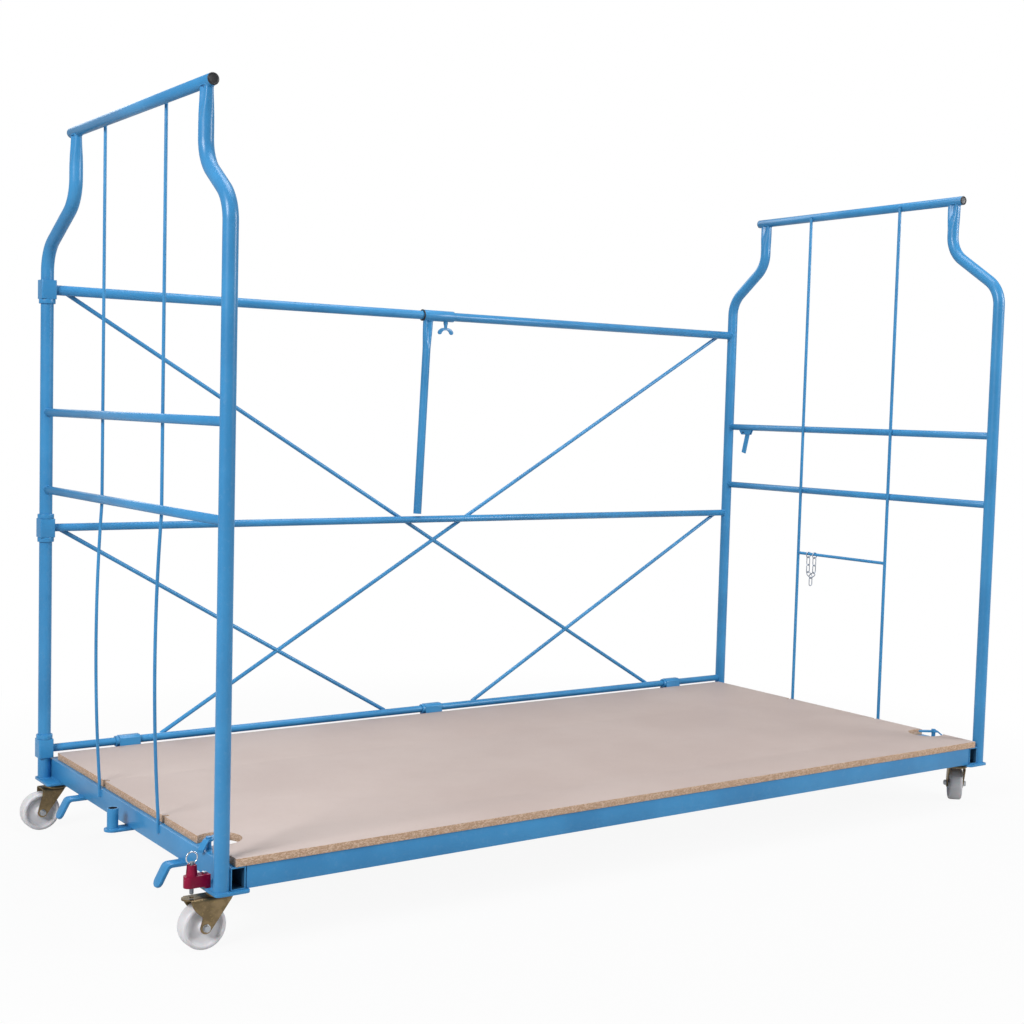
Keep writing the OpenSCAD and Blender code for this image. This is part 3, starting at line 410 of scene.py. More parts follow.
@dataclass(frozen=True)
class Plating(Finish):
    """Plated steel, whose tone and gloss drift in small clouds."""

    tones: tuple[Colour, Colour, Colour]
    rough: float
    drift: float = 0.12
    cloud: float = 60

    def surface(self, graph: Graph) -> dict[str, object]:
        """Three tones, one over the other, and the grain of rolled steel.

        Args:
            graph: The material's nodes.

        Returns:
            The shader's socket values and links.
        """
        where = graph.place()
        broad = graph.noise(where, self.cloud, 3, 0.6)
        small = graph.noise(where, self.cloud * 4, 4, 0.65)
        grain = graph.noise(graph.place((1, 1, 0.15)), 1500, 2)
        first, second, third = self.tones
        colour = graph.mix(broad.step(0.36, 0.6), first, second)
        colour = graph.mix(small.step(0.52, 0.74) * 0.7, colour, third)
        return {
            "Base Color": colour,
            "Metallic": 1.0,
            "Roughness": self.rough + small * self.drift,
            "Normal": graph.bump(grain * 0.5 + small, 0.08 * MM, 0.3),
        }


@dataclass(frozen=True)
class Moulded(Finish):
    """Moulded plastic with its fine grain, and dirt where it is used."""

    colour: Colour
    rough: float
    grain: float = 1100
    depth: float = 0.06
    milky: float = 0.0
    dirt: float = 0.0

    def surface(self, graph: Graph) -> dict[str, object]:
        """Plastic with a soft tone drift; a milky one lets light in.

        Args:
            graph: The material's nodes.

        Returns:
            The shader's socket values and links.
        """
        where = graph.place()
        grain = graph.noise(where, self.grain, 2)
        cloud = graph.noise(where, 24, 3, 0.6)
        scuffs = graph.noise(graph.place((1, 0.3, 1)), 240, 5, 0.7).step(0.58, 0.75)
        light = tuple(min(1.0, c * 1.06 + 0.004) for c in self.colour)
        clean = graph.mix(cloud.step(0.3, 0.7), self.colour, light)
        return {
            "Base Color": graph.mix(scuffs * self.dirt, clean, srgb(150, 142, 132)),
            "Roughness": self.rough + grain * 0.08 + scuffs * 0.12,
            "Normal": graph.bump(grain + scuffs * 0.4, self.depth * MM, 0.35),
            "Subsurface Weight": self.milky,
            "Subsurface Scale": 0.012,
        }


BLUE = PowderCoat(
    "blue_powder_coat", "blue_paint", srgb(52, 128, 181), srgb(61, 141, 195)
)
RED = PowderCoat(
    "red_powder_coat",
    "red_paint",
    srgb(130, 4, 48),
    srgb(144, 8, 56),
    gloss=0.26,
    coat=0.06,
    shine=0.2,
)
BOARD = Chipboard("flake_board", "chipboard", bottom=0.1823, top=0.2003)
ZINC = Plating(
    "bright_zinc",
    "zinc",
    (srgb(196, 199, 203), srgb(176, 180, 186), srgb(214, 214, 212)),
    rough=0.3,
)
CHROMATE = Plating(
    "yellow_chromate",
    "chromate",
    (srgb(150, 130, 98), srgb(122, 106, 80), srgb(172, 150, 102)),
    rough=0.34,
    drift=0.16,
    cloud=38,
)
DULL_ZINC = Plating(
    "dull_zinc",
    "zinc",
    (srgb(142, 148, 156), srgb(118, 124, 133), srgb(164, 168, 173)),
    rough=0.36,
)
CHAIN_ZINC = Plating(
    "chain_zinc",
    "zinc",
    (srgb(172, 180, 192), srgb(150, 158, 171), srgb(190, 197, 206)),
    rough=0.34,
)
CHROME = Plating(
    "polished_chrome",
    "chrome",
    (srgb(226, 228, 232), srgb(220, 223, 228), srgb(230, 231, 233)),
    rough=0.06,
    drift=0.04,
)
BLACK = Moulded("black_plastic_grain", "black_plastic", srgb(24, 24, 28), 0.42)
NYLON = Moulded(
    "white_nylon_wheel", "white_nylon", srgb(212, 211, 214), 0.36, milky=0.12, dirt=0.2
)


# Geometry trees


def added(name: str, data: bpy.types.ID) -> bpy.types.Object:
    """A new object of the data, in the scene.

    Args:
        name: The object's name.
        data: Its mesh, lamp or camera.

    Returns:
        The object.
    """
    made = bpy.data.objects.new(name, data)
    bpy.context.scene.collection.objects.link(made)
    return made


class Rule:
    """A geometry tree whose named sizes shape whatever it is given."""

    KINDS = {"Sides": "NodeSocketInt", "Material": "NodeSocketMaterial"}

    def __init__(self, name: str, *sizes: str) -> None:
        """Starts the tree, whose last input is the material.

        Args:
            name: The tree's name.
            *sizes: Its inputs after the geometry; Sides is a whole number.
        """
        self.tree = bpy.data.node_groups.new(name, "GeometryNodeTree")
        self.graph = Graph(self.tree)
        face, shape = self.tree.interface, "NodeSocketGeometry"
        face.new_socket(name="Geometry", in_out="INPUT", socket_type=shape)
        self.ids = {}
        for size in (*sizes, "Material"):
            kind = self.KINDS.get(size, "NodeSocketFloat")
            socket = face.new_socket(name=size, in_out="INPUT", socket_type=kind)
            self.ids[size] = socket.identifier
        face.new_socket(name="Geometry", in_out="OUTPUT", socket_type=shape)
        self.source = self.tree.nodes.new("NodeGroupInput")

    def given(self, name: str) -> Value:
        """One of the tree's inputs."""
        return Value(self.graph, self.source.outputs[name])

    def line(self) -> Value:
        """The given edges as curves."""
        return self.graph.node(
            "GeometryNodeMeshToCurve", inputs={0: self.given("Geometry")}
        )

    def circle(self, radius: Value, sides: object) -> Value:
        """A circle to sweep."""
        return self.graph.node(
            "GeometryNodeCurvePrimitiveCircle",
            inputs={"Resolution": sides, "Radius": radius},
        )

    def fillet(self, curve: Value, count: int, radius: Value) -> Value:
        """The curve with its corners rounded in that many steps."""
        return self.graph.node(
            "GeometryNodeFilletCurve",
            {"mode": "POLY"},
            {"Curve": curve, "Count": count, "Radius": radius, "Limit Radius": True},
        )

    def sweep(self, curve: Value, section: Value, **more: object) -> Value:
        """A section swept along a curve with capped ends; more names other sockets."""
        links = {"Curve": curve, "Profile Curve": section, "Fill Caps": True, **more}
        return self.graph.node("GeometryNodeCurveToMesh", inputs=links)

    def close(self, made: Value) -> None:
        """Ends the tree: real geometry, smooth, with its material.

        Args:
            made: The geometry.
        """
        real = self.graph.node("GeometryNodeRealizeInstances", inputs={0: made})
        smooth = self.graph.node("GeometryNodeSetShadeSmooth", inputs={0: real})
        links = {"Geometry": smooth, "Material": self.given("Material")}
        dressed = self.graph.node("GeometryNodeSetMaterial", inputs=links)
        self.graph.node("NodeGroupOutput", inputs={0: dressed})

    def grow(
        self, mesh: bpy.types.Mesh, finish: Finish, **sizes: object
    ) -> bpy.types.Mesh:
        """Runs the tree.

        Args:
            mesh: What the tree starts from.
            finish: Whose material the result gets.
            **sizes: Its inputs, with underscores for spaces.

        Returns:
            A plain mesh of the result.
        """
        holder = added(mesh.name, mesh)
        modifier = holder.modifiers.new("rule", "NODES")
        modifier.node_group = self.tree
        for size, given in {"Material": finish.material(), **sizes}.items():
            modifier[self.ids[size.replace("_", " ")]] = given
        graph = bpy.context.evaluated_depsgraph_get()
        made = bpy.data.meshes.new_from_object(
            holder.evaluated_get(graph), depsgraph=graph
        )
        bpy.data.objects.remove(holder)
        return made


class BentTube(Rule):
    """A round tube or rod along a line of points, whose corners become bends."""

    def __init__(self) -> None:
        """Rounds the corners, then sweeps a circle along the line."""
        super().__init__("bent_tube", "Diameter", "Bend Radius", "Sides")
        bent = self.fillet(self.line(), 14, self.given("Bend Radius"))
        section = self.circle(self.given("Diameter") * 0.5, self.given("Sides"))
        self.close(self.sweep(bent, section))

    def run(
        self,
        name: str,
        lines: Iterable[list[Vector]],
        diameter: float,
        sides: int,
        bend: float = 0.0,
    ) -> bpy.types.Mesh:
        """Tubes along lines of points.

        Args:
            name: The mesh's name.
            lines: Points of each tube's axis in metres.
            diameter: Diameter in metres.
            sides: Sides of the section.
            bend: Radius of the bends in metres.

        Returns:
            The tubes' mesh.
        """
        edges = line_mesh(name, [(line, False) for line in lines])
        sizes = {"Diameter": diameter, "Bend Radius": bend, "Sides": sides}
        return self.grow(edges, BLUE, **sizes)


class WeldBead(Rule):
    """A weld bead along lines of points, thick and thin by turns."""

    def __init__(self) -> None:
        """Sweeps a circle whose size ripples with the length."""
        super().__init__("weld_bead", "Bead Radius", "Ripple", "Pitch")
        graph, pitch = self.graph, self.given("Pitch")
        even = graph.node(
            "GeometryNodeResampleCurve",
            {"mode": "LENGTH"},
            {"Curve": self.line(), "Length": pitch * 0.34},
        )
        length = graph.node("GeometryNodeSplineParameter", output="Length")
        swelling = 1.0 + self.given("Ripple") * (length / pitch * math.tau).sine()
        section = self.circle(self.given("Bead Radius"), 7)
        self.close(self.sweep(even, section, Scale=swelling))


class ChainLinks(Rule):
    """Oval wire links at points, each turned by the point's own turn."""

    def __init__(self) -> None:
        """Bends a wire round an oval and sets one at every point."""
        super().__init__("chain_links", "Inside Length", "Inside Width", "Wire")
        graph, wire = self.graph, self.given("Wire")
        width = self.given("Inside Width") + wire
        box = graph.node(
            "GeometryNodeCurvePrimitiveQuadrilateral",
            {"mode": "RECTANGLE"},
            {"Width": width, "Height": self.given("Inside Length") + wire},
        )
        oval = self.fillet(box, 8, width * 0.4999)
        link = self.sweep(oval, self.circle(wire * 0.5, 12))
        turn = graph.node(
            "GeometryNodeInputNamedAttribute",
            {"data_type": "FLOAT_VECTOR"},
            {"Name": "turn"},
        )
        turned = graph.node("FunctionNodeEulerToRotation", inputs={0: turn})
        links = {"Points": self.given("Geometry"), "Instance": link, "Rotation": turned}
        self.close(graph.node("GeometryNodeInstanceOnPoints", inputs=links))


# Meshes and pieces


def around(count: int) -> list[Span]:
    """Cosine and sine of equal steps round a circle."""
    angles = [i * math.tau / count for i in range(count)]
    return [(math.cos(a), math.sin(a)) for a in angles]


def line_mesh(name: str, lines: Iterable[tuple[list[Vector], bool]]) -> bpy.types.Mesh:
    """Lines of points as edges.

    Args:
        name: The mesh's name.
        lines: Points of each line, and whether it closes.

    Returns:
        A mesh of edges only.
    """
    points, edges = [], []
    for line, loop in lines:
        first = len(points)
        points += line
        edges += [(first + i, first + i + 1) for i in range(len(line) - 1)]
        if loop:
            edges.append((len(points) - 1, first))
    made = bpy.data.meshes.new(name)
    made.from_pydata(points, edges, [])
    return made


class Shape:
    """Points and faces of one rigid piece, put together from simple closed forms."""

    def __init__(self) -> None:
        """Starts empty."""
        self.points: list[Vector] = []
        self.faces: list[tuple[int, ...]] = []

    def skin(
        self,
        rings: Sequence[Sequence[Point]],
        place: Matrix | None = None,
        loop: bool = False,
    ) -> "Shape":
        """Joins rings of points by quads.

        Args:
            rings: Rings with the same number of points, in millimetres.
            place: Where the form stands, in metres.
            loop: Joins the last ring to the first instead of closing both ends.

        Returns:
            The shape itself.
        """
        place = place or Matrix()
        first, n = len(self.points), len(rings[0])
        for ring in rings:
            self.points += [place @ (Vector(p) * MM) for p in ring]
        for i in range(len(rings) - (0 if loop else 1)):
            a, b = first + i * n, first + (i + 1) % len(rings) * n
            for j, k in zip(range(n), (*range(1, n), 0)):
                self.faces.append((a + j, a + k, b + k, b + j))
        if not loop:
            self.faces.append(tuple(range(first + n - 1, first - 1, -1)))
            self.faces.append(tuple(range(len(self.points) - n, len(self.points))))
        return self

    def turn(self, profile: Sequence[Span], place: Matrix, sides: int) -> "Shape":
        """Turns a closed profile of radius and height about its own Z axis."""
        rings = [[(r * c, r * s, z) for r, z in profile] for c, s in around(sides)]
        return self.skin(rings, place, loop=True)

    def plate(
        self,
        outline: Sequence[Span],
        low: float,
        high: float,
        place: Matrix,
        holes: Sequence[Sequence[Span]] = (),
    ) -> "Shape":
        """Raises an outline with its holes between two heights, in millimetres.

        Args:
            outline: X and Y of the outer edge.
            low: Height of the lower face.
            high: Height of the upper face.
            place: Where the form stands, in metres.
            holes: Outlines of the holes.

        Returns:
            The shape itself.
        """
        loops = [list(outline), *map(list, holes)]
        flat = [p for one in loops for p in one]
        count, first = len(flat), len(self.points)
        for z in (low, high):
            self.points += [place @ (Vector((x, y, z)) * MM) for x, y in flat]
        level = [[Vector((*p, 0)) for p in one] for one in loops]
        for corners in tessellate_polygon(level):
            for start in (first, first + count):
                self.faces.append(tuple(start + corner for corner in corners))
        start = first
        for one in loops:
            n = len(one)
            for i in range(n):
                a, b = start + i, start + (i + 1) % n
                self.faces.append((a, b, b + count, a + count))
            start += n
        return self

    def hexagon(self, across: float, low: float, high: float, place: Matrix) -> "Shape":
        """Hexagon of a nut or bolt, with the turned chamfer on its high end.

        Args:
            across: Width across flats in millimetres.
            low: Height of the plain end.
            high: Height of the chamfered end.
            place: Where the form stands, in metres.

        Returns:
            The shape itself.
        """
        half, count, sixth = across / 2, 36, math.pi / 3
        ways = around(count)
        reach = [
            half / math.cos((i * math.tau / count + sixth / 2) % sixth - sixth / 2)
            for i in range(count)
        ]
        base = [(c * r, s * r) for (c, s), r in zip(ways, reach)]
        rings = [
            [(x, y, low) for x, y in base],
            [(x, y, high - (r - half * 0.96) * 0.55) for (x, y), r in zip(base, reach)],
            [(c * half * 0.93, s * half * 0.93, high) for c, s in ways],
        ]
        return self.skin(rings, place)

    def mesh(self, name: str) -> bpy.types.Mesh:
        """The shape as a mesh whose faces point outwards.

        Args:
            name: The mesh's name.

        Returns:
            The mesh.
        """
        made = bpy.data.meshes.new(name)
        made.from_pydata(self.points, [], self.faces)
        tidy = opened(made)
        bmesh.ops.remove_doubles(tidy, verts=tidy.verts, dist=1e-6)
        bmesh.ops.recalc_face_normals(tidy, faces=tidy.faces)
        return closed(tidy, made)


def opened(*meshes: bpy.types.Mesh) -> bmesh.types.BMesh:
    """Meshes, ready for editing as one.

    Args:
        *meshes: The meshes, which aren't changed.

    Returns:
        One editable copy of them all.
    """
    together = bmesh.new()
    for one in meshes:
        together.from_mesh(one)
    return together


def closed(source: bmesh.types.BMesh, made: bpy.types.Mesh) -> bpy.types.Mesh:
    """The mesh, with what was edited in it; the edited copy is freed.

    Args:
        source: The edited copy.
        made: The mesh that takes it.

    Returns:
        The mesh.
    """
    source.to_mesh(made)
    source.free()
    return made


def joined(name: str, *meshes: bpy.types.Mesh) -> bpy.types.Mesh:
    """Several meshes as one."""
    return closed(opened(*meshes), bpy.data.meshes.new(name))


def piece(
    name: str,
    mesh: bpy.types.Mesh,
    body: str,
    finish: Finish,
    replaces: Sequence[str] = (),
    rounding: float = 0.0,
    crease: float = 38.0,
) -> bpy.types.Object:
    """Makes a piece that rides on a body.

    Args:
        name: The piece's name.
        mesh: Its mesh, in place.
        body: The CAD body that it rides on.
        finish: Its finish.
        replaces: CAD nodes that it stands for.
        rounding: Width in millimetres by which its sharp edges are rounded.
        crease: Angle in degrees from which an edge is sharp.

    Returns:
        The piece.
    """
    mesh.materials.clear()
    mesh.materials.append(finish.material())
    mesh.shade_smooth()
    if rounding:
        mesh = rounded(mesh, rounding * MM, crease)
    mesh.set_sharp_from_angle(angle=math.radians(crease))
    mesh.name = name
    made = added(name, mesh)
    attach(made, body)
    if replaces:
        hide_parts(*replaces)
    log.info("%s rides on %s", name, body)
    return made


def islands(source: bmesh.types.BMesh) -> list[list[bmesh.types.BMFace]]:
    """The faces of each closed shell.

    Args:
        source: The editable mesh.

    Returns:
        A list of faces for each shell.
    """
    seen, found = set(), []
    for face in source.faces:
        if face in seen:
            continue
        seen.add(face)
        stack, shell = [face], []
        while stack:
            here = stack.pop()
            shell.append(here)
            for edge in here.edges:
                for near in edge.link_faces:
                    if near not in seen:
                        seen.add(near)
                        stack.append(near)
        found.append(shell)
    return found


def rounded(mesh: bpy.types.Mesh, width: float, crease: float) -> bpy.types.Mesh:
    """Rounds the sharp edges of every shell of a mesh.

    Args:
        mesh: The mesh, which isn't changed.
        width: Width of the rounding in metres.
        crease: Angle in degrees from which an edge is sharp.

    Returns:
        A new mesh with the same materials.
    """
    source, whole = opened(mesh), bmesh.new()
    for shell in islands(source):
        one = bmesh.new()
        twin = {}
        for face in shell:
            for vert in face.verts:
                if vert not in twin:
                    twin[vert] = one.verts.new(vert.co)
        for face in shell:
            one.faces.new([twin[v] for v in face.verts])
        bmesh.ops.dissolve_limit(
            one, angle_limit=0.006, verts=one.verts, edges=one.edges
        )
        sharp = [e for e in one.edges if e.calc_face_angle(0) > math.radians(crease)]
        bmesh.ops.bevel(
            one,
            geom=sharp,
            offset=width,
            segments=2,
            profile=0.6,
            affect="EDGES",
            clamp_overlap=True,
            material=-1,
        )
        part = closed(one, bpy.data.meshes.new("shell"))
        whole.from_mesh(part)
        bpy.data.meshes.remove(part)
    for face in whole.faces:
        face.smooth = True
    made = closed(whole, bpy.data.meshes.new(mesh.name))
    source.free()
    for material in mesh.materials:
        made.materials.append(material)
    return made


def dress(finish: Finish, *nodes: str) -> None:
    """Gives CAD nodes, whose shapes are right, a finish."""
    for node in nodes:
        shown = frame["nodes"][node]
        for slot in shown.material_slots:
            slot.material = finish.material()
        log.info("%s is finished in %s", node, finish.name)


def node_copy(node: str) -> bmesh.types.BMesh:
    """A CAD node's mesh with its double points merged, ready for editing.

    Args:
        node: The CAD node.

    Returns:
        The editable copy.
    """
    copy = opened(frame["nodes"][node].data)
    bmesh.ops.remove_doubles(copy, verts=copy.verts, dist=2e-6)
    return copy


COPY_CREASE = 30.0


def smooth_copy(finish: Finish, rounding: float, *nodes: str) -> None:
    """Stands in for CAD nodes with copies whose edges are rounded.

    Args:
        finish: The finish of the copies.
        rounding: Width of the rounding in millimetres.
        *nodes: The CAD nodes.
    """
    for node in nodes:
        name, body = node + "_rounded", frame["nodes"][node]["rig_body"]
        mesh = closed(node_copy(node), bpy.data.meshes.new(name))
        piece(name, mesh, body, finish, [node], rounding, COPY_CREASE)


QUARTER_X = Matrix.Rotation(math.pi / 2, 4, "X")
QUARTER_Z = Matrix.Rotation(math.pi / 2, 4, "Z")


def shift(x: float, y: float, z: float) -> Matrix:
    """A step in millimetres."""
    return Matrix.Translation(Vector((x, y, z)) * MM)


def along(start: Point, end: Point) -> Matrix:
    """A place at start, in metres, whose Z axis points to end."""
    way = Vector(end) - Vector(start)
    return Matrix.Translation(start) @ way.to_track_quat("Z", "Y").to_matrix().to_4x4()


# Layout and welds


POST_R = 16.85 * MM
BEAM_PAST_POST = 11 * MM


@dataclass(frozen=True)
class Layout:
    """Main sizes and places of the trolley in metres; nodes give the posts' places."""

    post_r: float = POST_R
    bar_r: float = 13.45 * MM
    rail_r: float = 10.65 * MM
    wall: float = 2.3 * MM
    beam_w: float = 35 * MM
    plate_top: float = 0.132
    beam_top: float = 0.182
    top_bar_z: float = 1.835
    back_top_z: float = 1.448
    back_middle_z: float = 0.812
    back_bottom_z: float = 0.210
    rod_spacing: float = 0.382
    left: float = field(default_factory=lambda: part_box("left_end_beam")[0].x - POST_R)
    right: float = field(default_factory=lambda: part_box("right_end_beam")[1].x + POST_R)
    front: float = field(
        default_factory=lambda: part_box("left_end_beam")[0].y + BEAM_PAST_POST
    )
    rear: float = field(
        default_factory=lambda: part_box("left_end_beam")[1].y - BEAM_PAST_POST
    )

    @property
    def middle(self) -> float:
        """Y of the trolley's middle."""
        return (self.front + self.rear) / 2

    @property
    def rows(self) -> tuple[Span, Span]:
        """Y of the front and rear posts, each with its way inwards."""
        return (self.front, 1), (self.rear, -1)

    @property
    def rods(self) -> Span:
        """Y of the two rods of an end."""
        return self.middle - self.rod_spacing / 2, self.middle + self.rod_spacing / 2

    @property
    def back_rails(self) -> tuple[tuple[str, float, float], ...]:
        """Node, height and radius of each rail of the back."""
        return (
            ("back_top_rail", self.back_top_z, self.bar_r),
            ("back_middle_rail", self.back_middle_z, self.rail_r),
            ("back_bottom_rail", self.back_bottom_z, self.rail_r),
        )


LAYOUT = Layout()
ROOT = "right_end_and_back"
EAST, NORTH, UP = Vector((1, 0, 0)), Vector((0, 1, 0)), Vector((0, 0, 1))


class Side(Enum):
    """The two ends of the trolley, by the way that points outwards."""

    LEFT = -1
    RIGHT = 1


@dataclass
class Seams:
    """Weld seams, gathered by body and made in one go for each."""

    lines: dict[str, list[tuple[list[Vector], bool]]] = field(default_factory=dict)

    def add(self, body: str, points: Iterable[Point], loop: bool = False) -> None:
        """Adds a seam along points in metres."""
        self.lines.setdefault(body, []).append(([Vector(p) for p in points], loop))

    def line(self, body: str, start: Point, way: Vector, steps: Point) -> None:
        """Adds a straight seam through steps along a way, in millimetres from start."""
        self.add(body, [Vector(start) + way * (step * MM) for step in steps])

    def ring(self, body: str, centre: Point, across: Vector, radius: float) -> None:
        """Adds a seam round a centre, across an axis that is EAST or UP.

        Args:
            body: The body that it belongs to.
            centre: Its centre in metres.
            across: The axis that it runs round.
            radius: Its radius in metres.
        """
        over = NORTH if across is UP else UP
        side = over.cross(across)
        middle = Vector(centre)
        points = [middle + (side * c + over * s) * radius for c, s in around(40)]
        self.add(body, points, True)

    def saddle(self, body: str, centre: Point, way: Vector, radius: float) -> None:
        """Adds the seam where a level tube meets a post.

        Args:
            body: The body that both belong to.
            centre: Where the axes meet.
            way: The tube's direction, away from the post.
            radius: The tube's radius.
        """
        side, post = way.cross(UP), LAYOUT.post_r
        points = [
            Vector(centre)
            + (side * c + UP * s) * radius
            + way * math.sqrt(post**2 - (radius * c) ** 2)
            for c, s in around(40)
        ]
        self.add(body, points, True)

    def build(self, rule: WeldBead) -> None:
        """Makes the beads of every body.

        Args:
            rule: The tree that makes beads.
        """
        for body, lines in self.lines.items():
            mesh = rule.grow(
                line_mesh(f"{body}_welds", lines),
                BLUE,
                Bead_Radius=1.7 * MM,
                Ripple=0.2,
                Pitch=2.6 * MM,
            )
            piece(f"{body}_welds", mesh, body, BLUE, crease=80)


# Sub-assemblies


def flattened(
    width: float, thick: float, power: float, sides: int, groove: float = 0.0
) -> list[Span]:
    """Outline of a tube pressed flat along X.

    Args:
        width: Half width along Y in millimetres.
        thick: Half thickness along X in millimetres.
        power: 2 for an ellipse, more for flatter sides.
        sides: Number of points.
        groove: Depth of the pressed groove down the middle, as a share of thick.

    Returns:
        X and Y of the outline's points.
    """
    outline = []
    for c, s in around(sides):
        x = thick * math.copysign(abs(c) ** (2 / power), c)
        y = width * math.copysign(abs(s) ** (2 / power), s)
        x *= 1 - groove * max(0.0, 1 - (y / (0.55 * width)) ** 2) ** 2
        outline.append((x, y))
    return outline


@dataclass(frozen=True)
class PressedEnd:
    """A tube's end, pressed flat and grooved to meet a bar; sizes in millimetres.

    In the end's own place, Z runs along the tube and the bar lies along Y.
    """

    length: float
    radius: float
    thick: float
    width: float
    bar: float

    def cope(self, x: float) -> float:
        """Height of the bar's face over its axis."""
        return math.sqrt(max(self.bar**2 - x * x, 0.0))

    def mesh(self, start: Matrix) -> bpy.types.Mesh:
        """The pressed end.

        Args:
            start: Where the round section ends.

        Returns:
            The end's mesh.
        """
        rings, steps, flat = [], 22, self.length - self.bar
        for i in range(steps + 1):
            t = i / steps
            ease = t * t * (3 - 2 * t)
            press = self.radius + (self.thick - self.radius) * ease
            spread = self.radius + (self.width - self.radius) * ease
            rings.append(
                [
                    (x, y, t * (flat + (self.length - self.cope(x) - flat) * t * t))
                    for x, y in flattened(spread, press, 2 + 2 * ease, 60, 0.6 * ease)
                ]
            )
        return Shape().skin(rings, start).mesh("pinch")

    def seam(self, sides: int) -> list[Vector]:
        """Points in metres round the joint, from the bar's axis."""
        outline = flattened(self.width + 0.3, self.thick + 0.4, 3.3, sides)
        return [Vector((x, y, -self.cope(x))) * MM for x, y in outline]


def drawn(start: Point, end: Point, radius: float) -> bpy.types.Mesh:
    """A straight drawn tube with slightly broken edges.

    Args:
        start: One end in metres.
        end: The other end in metres.
        radius: Outer radius in metres.

    Returns:
        The tube's mesh.
    """
    out, length = radius / MM, (Vector(end) - Vector(start)).length / MM
    bore, edge = out - LAYOUT.wall / MM, 0.4
    profile = [
        (bore, 0), (out - edge, 0), (out, edge), (out, length - edge),
        (out - edge, length), (bore, length),
    ]  # fmt: skip
    return Shape().turn(profile, along(start, end), 72).mesh("drawn")


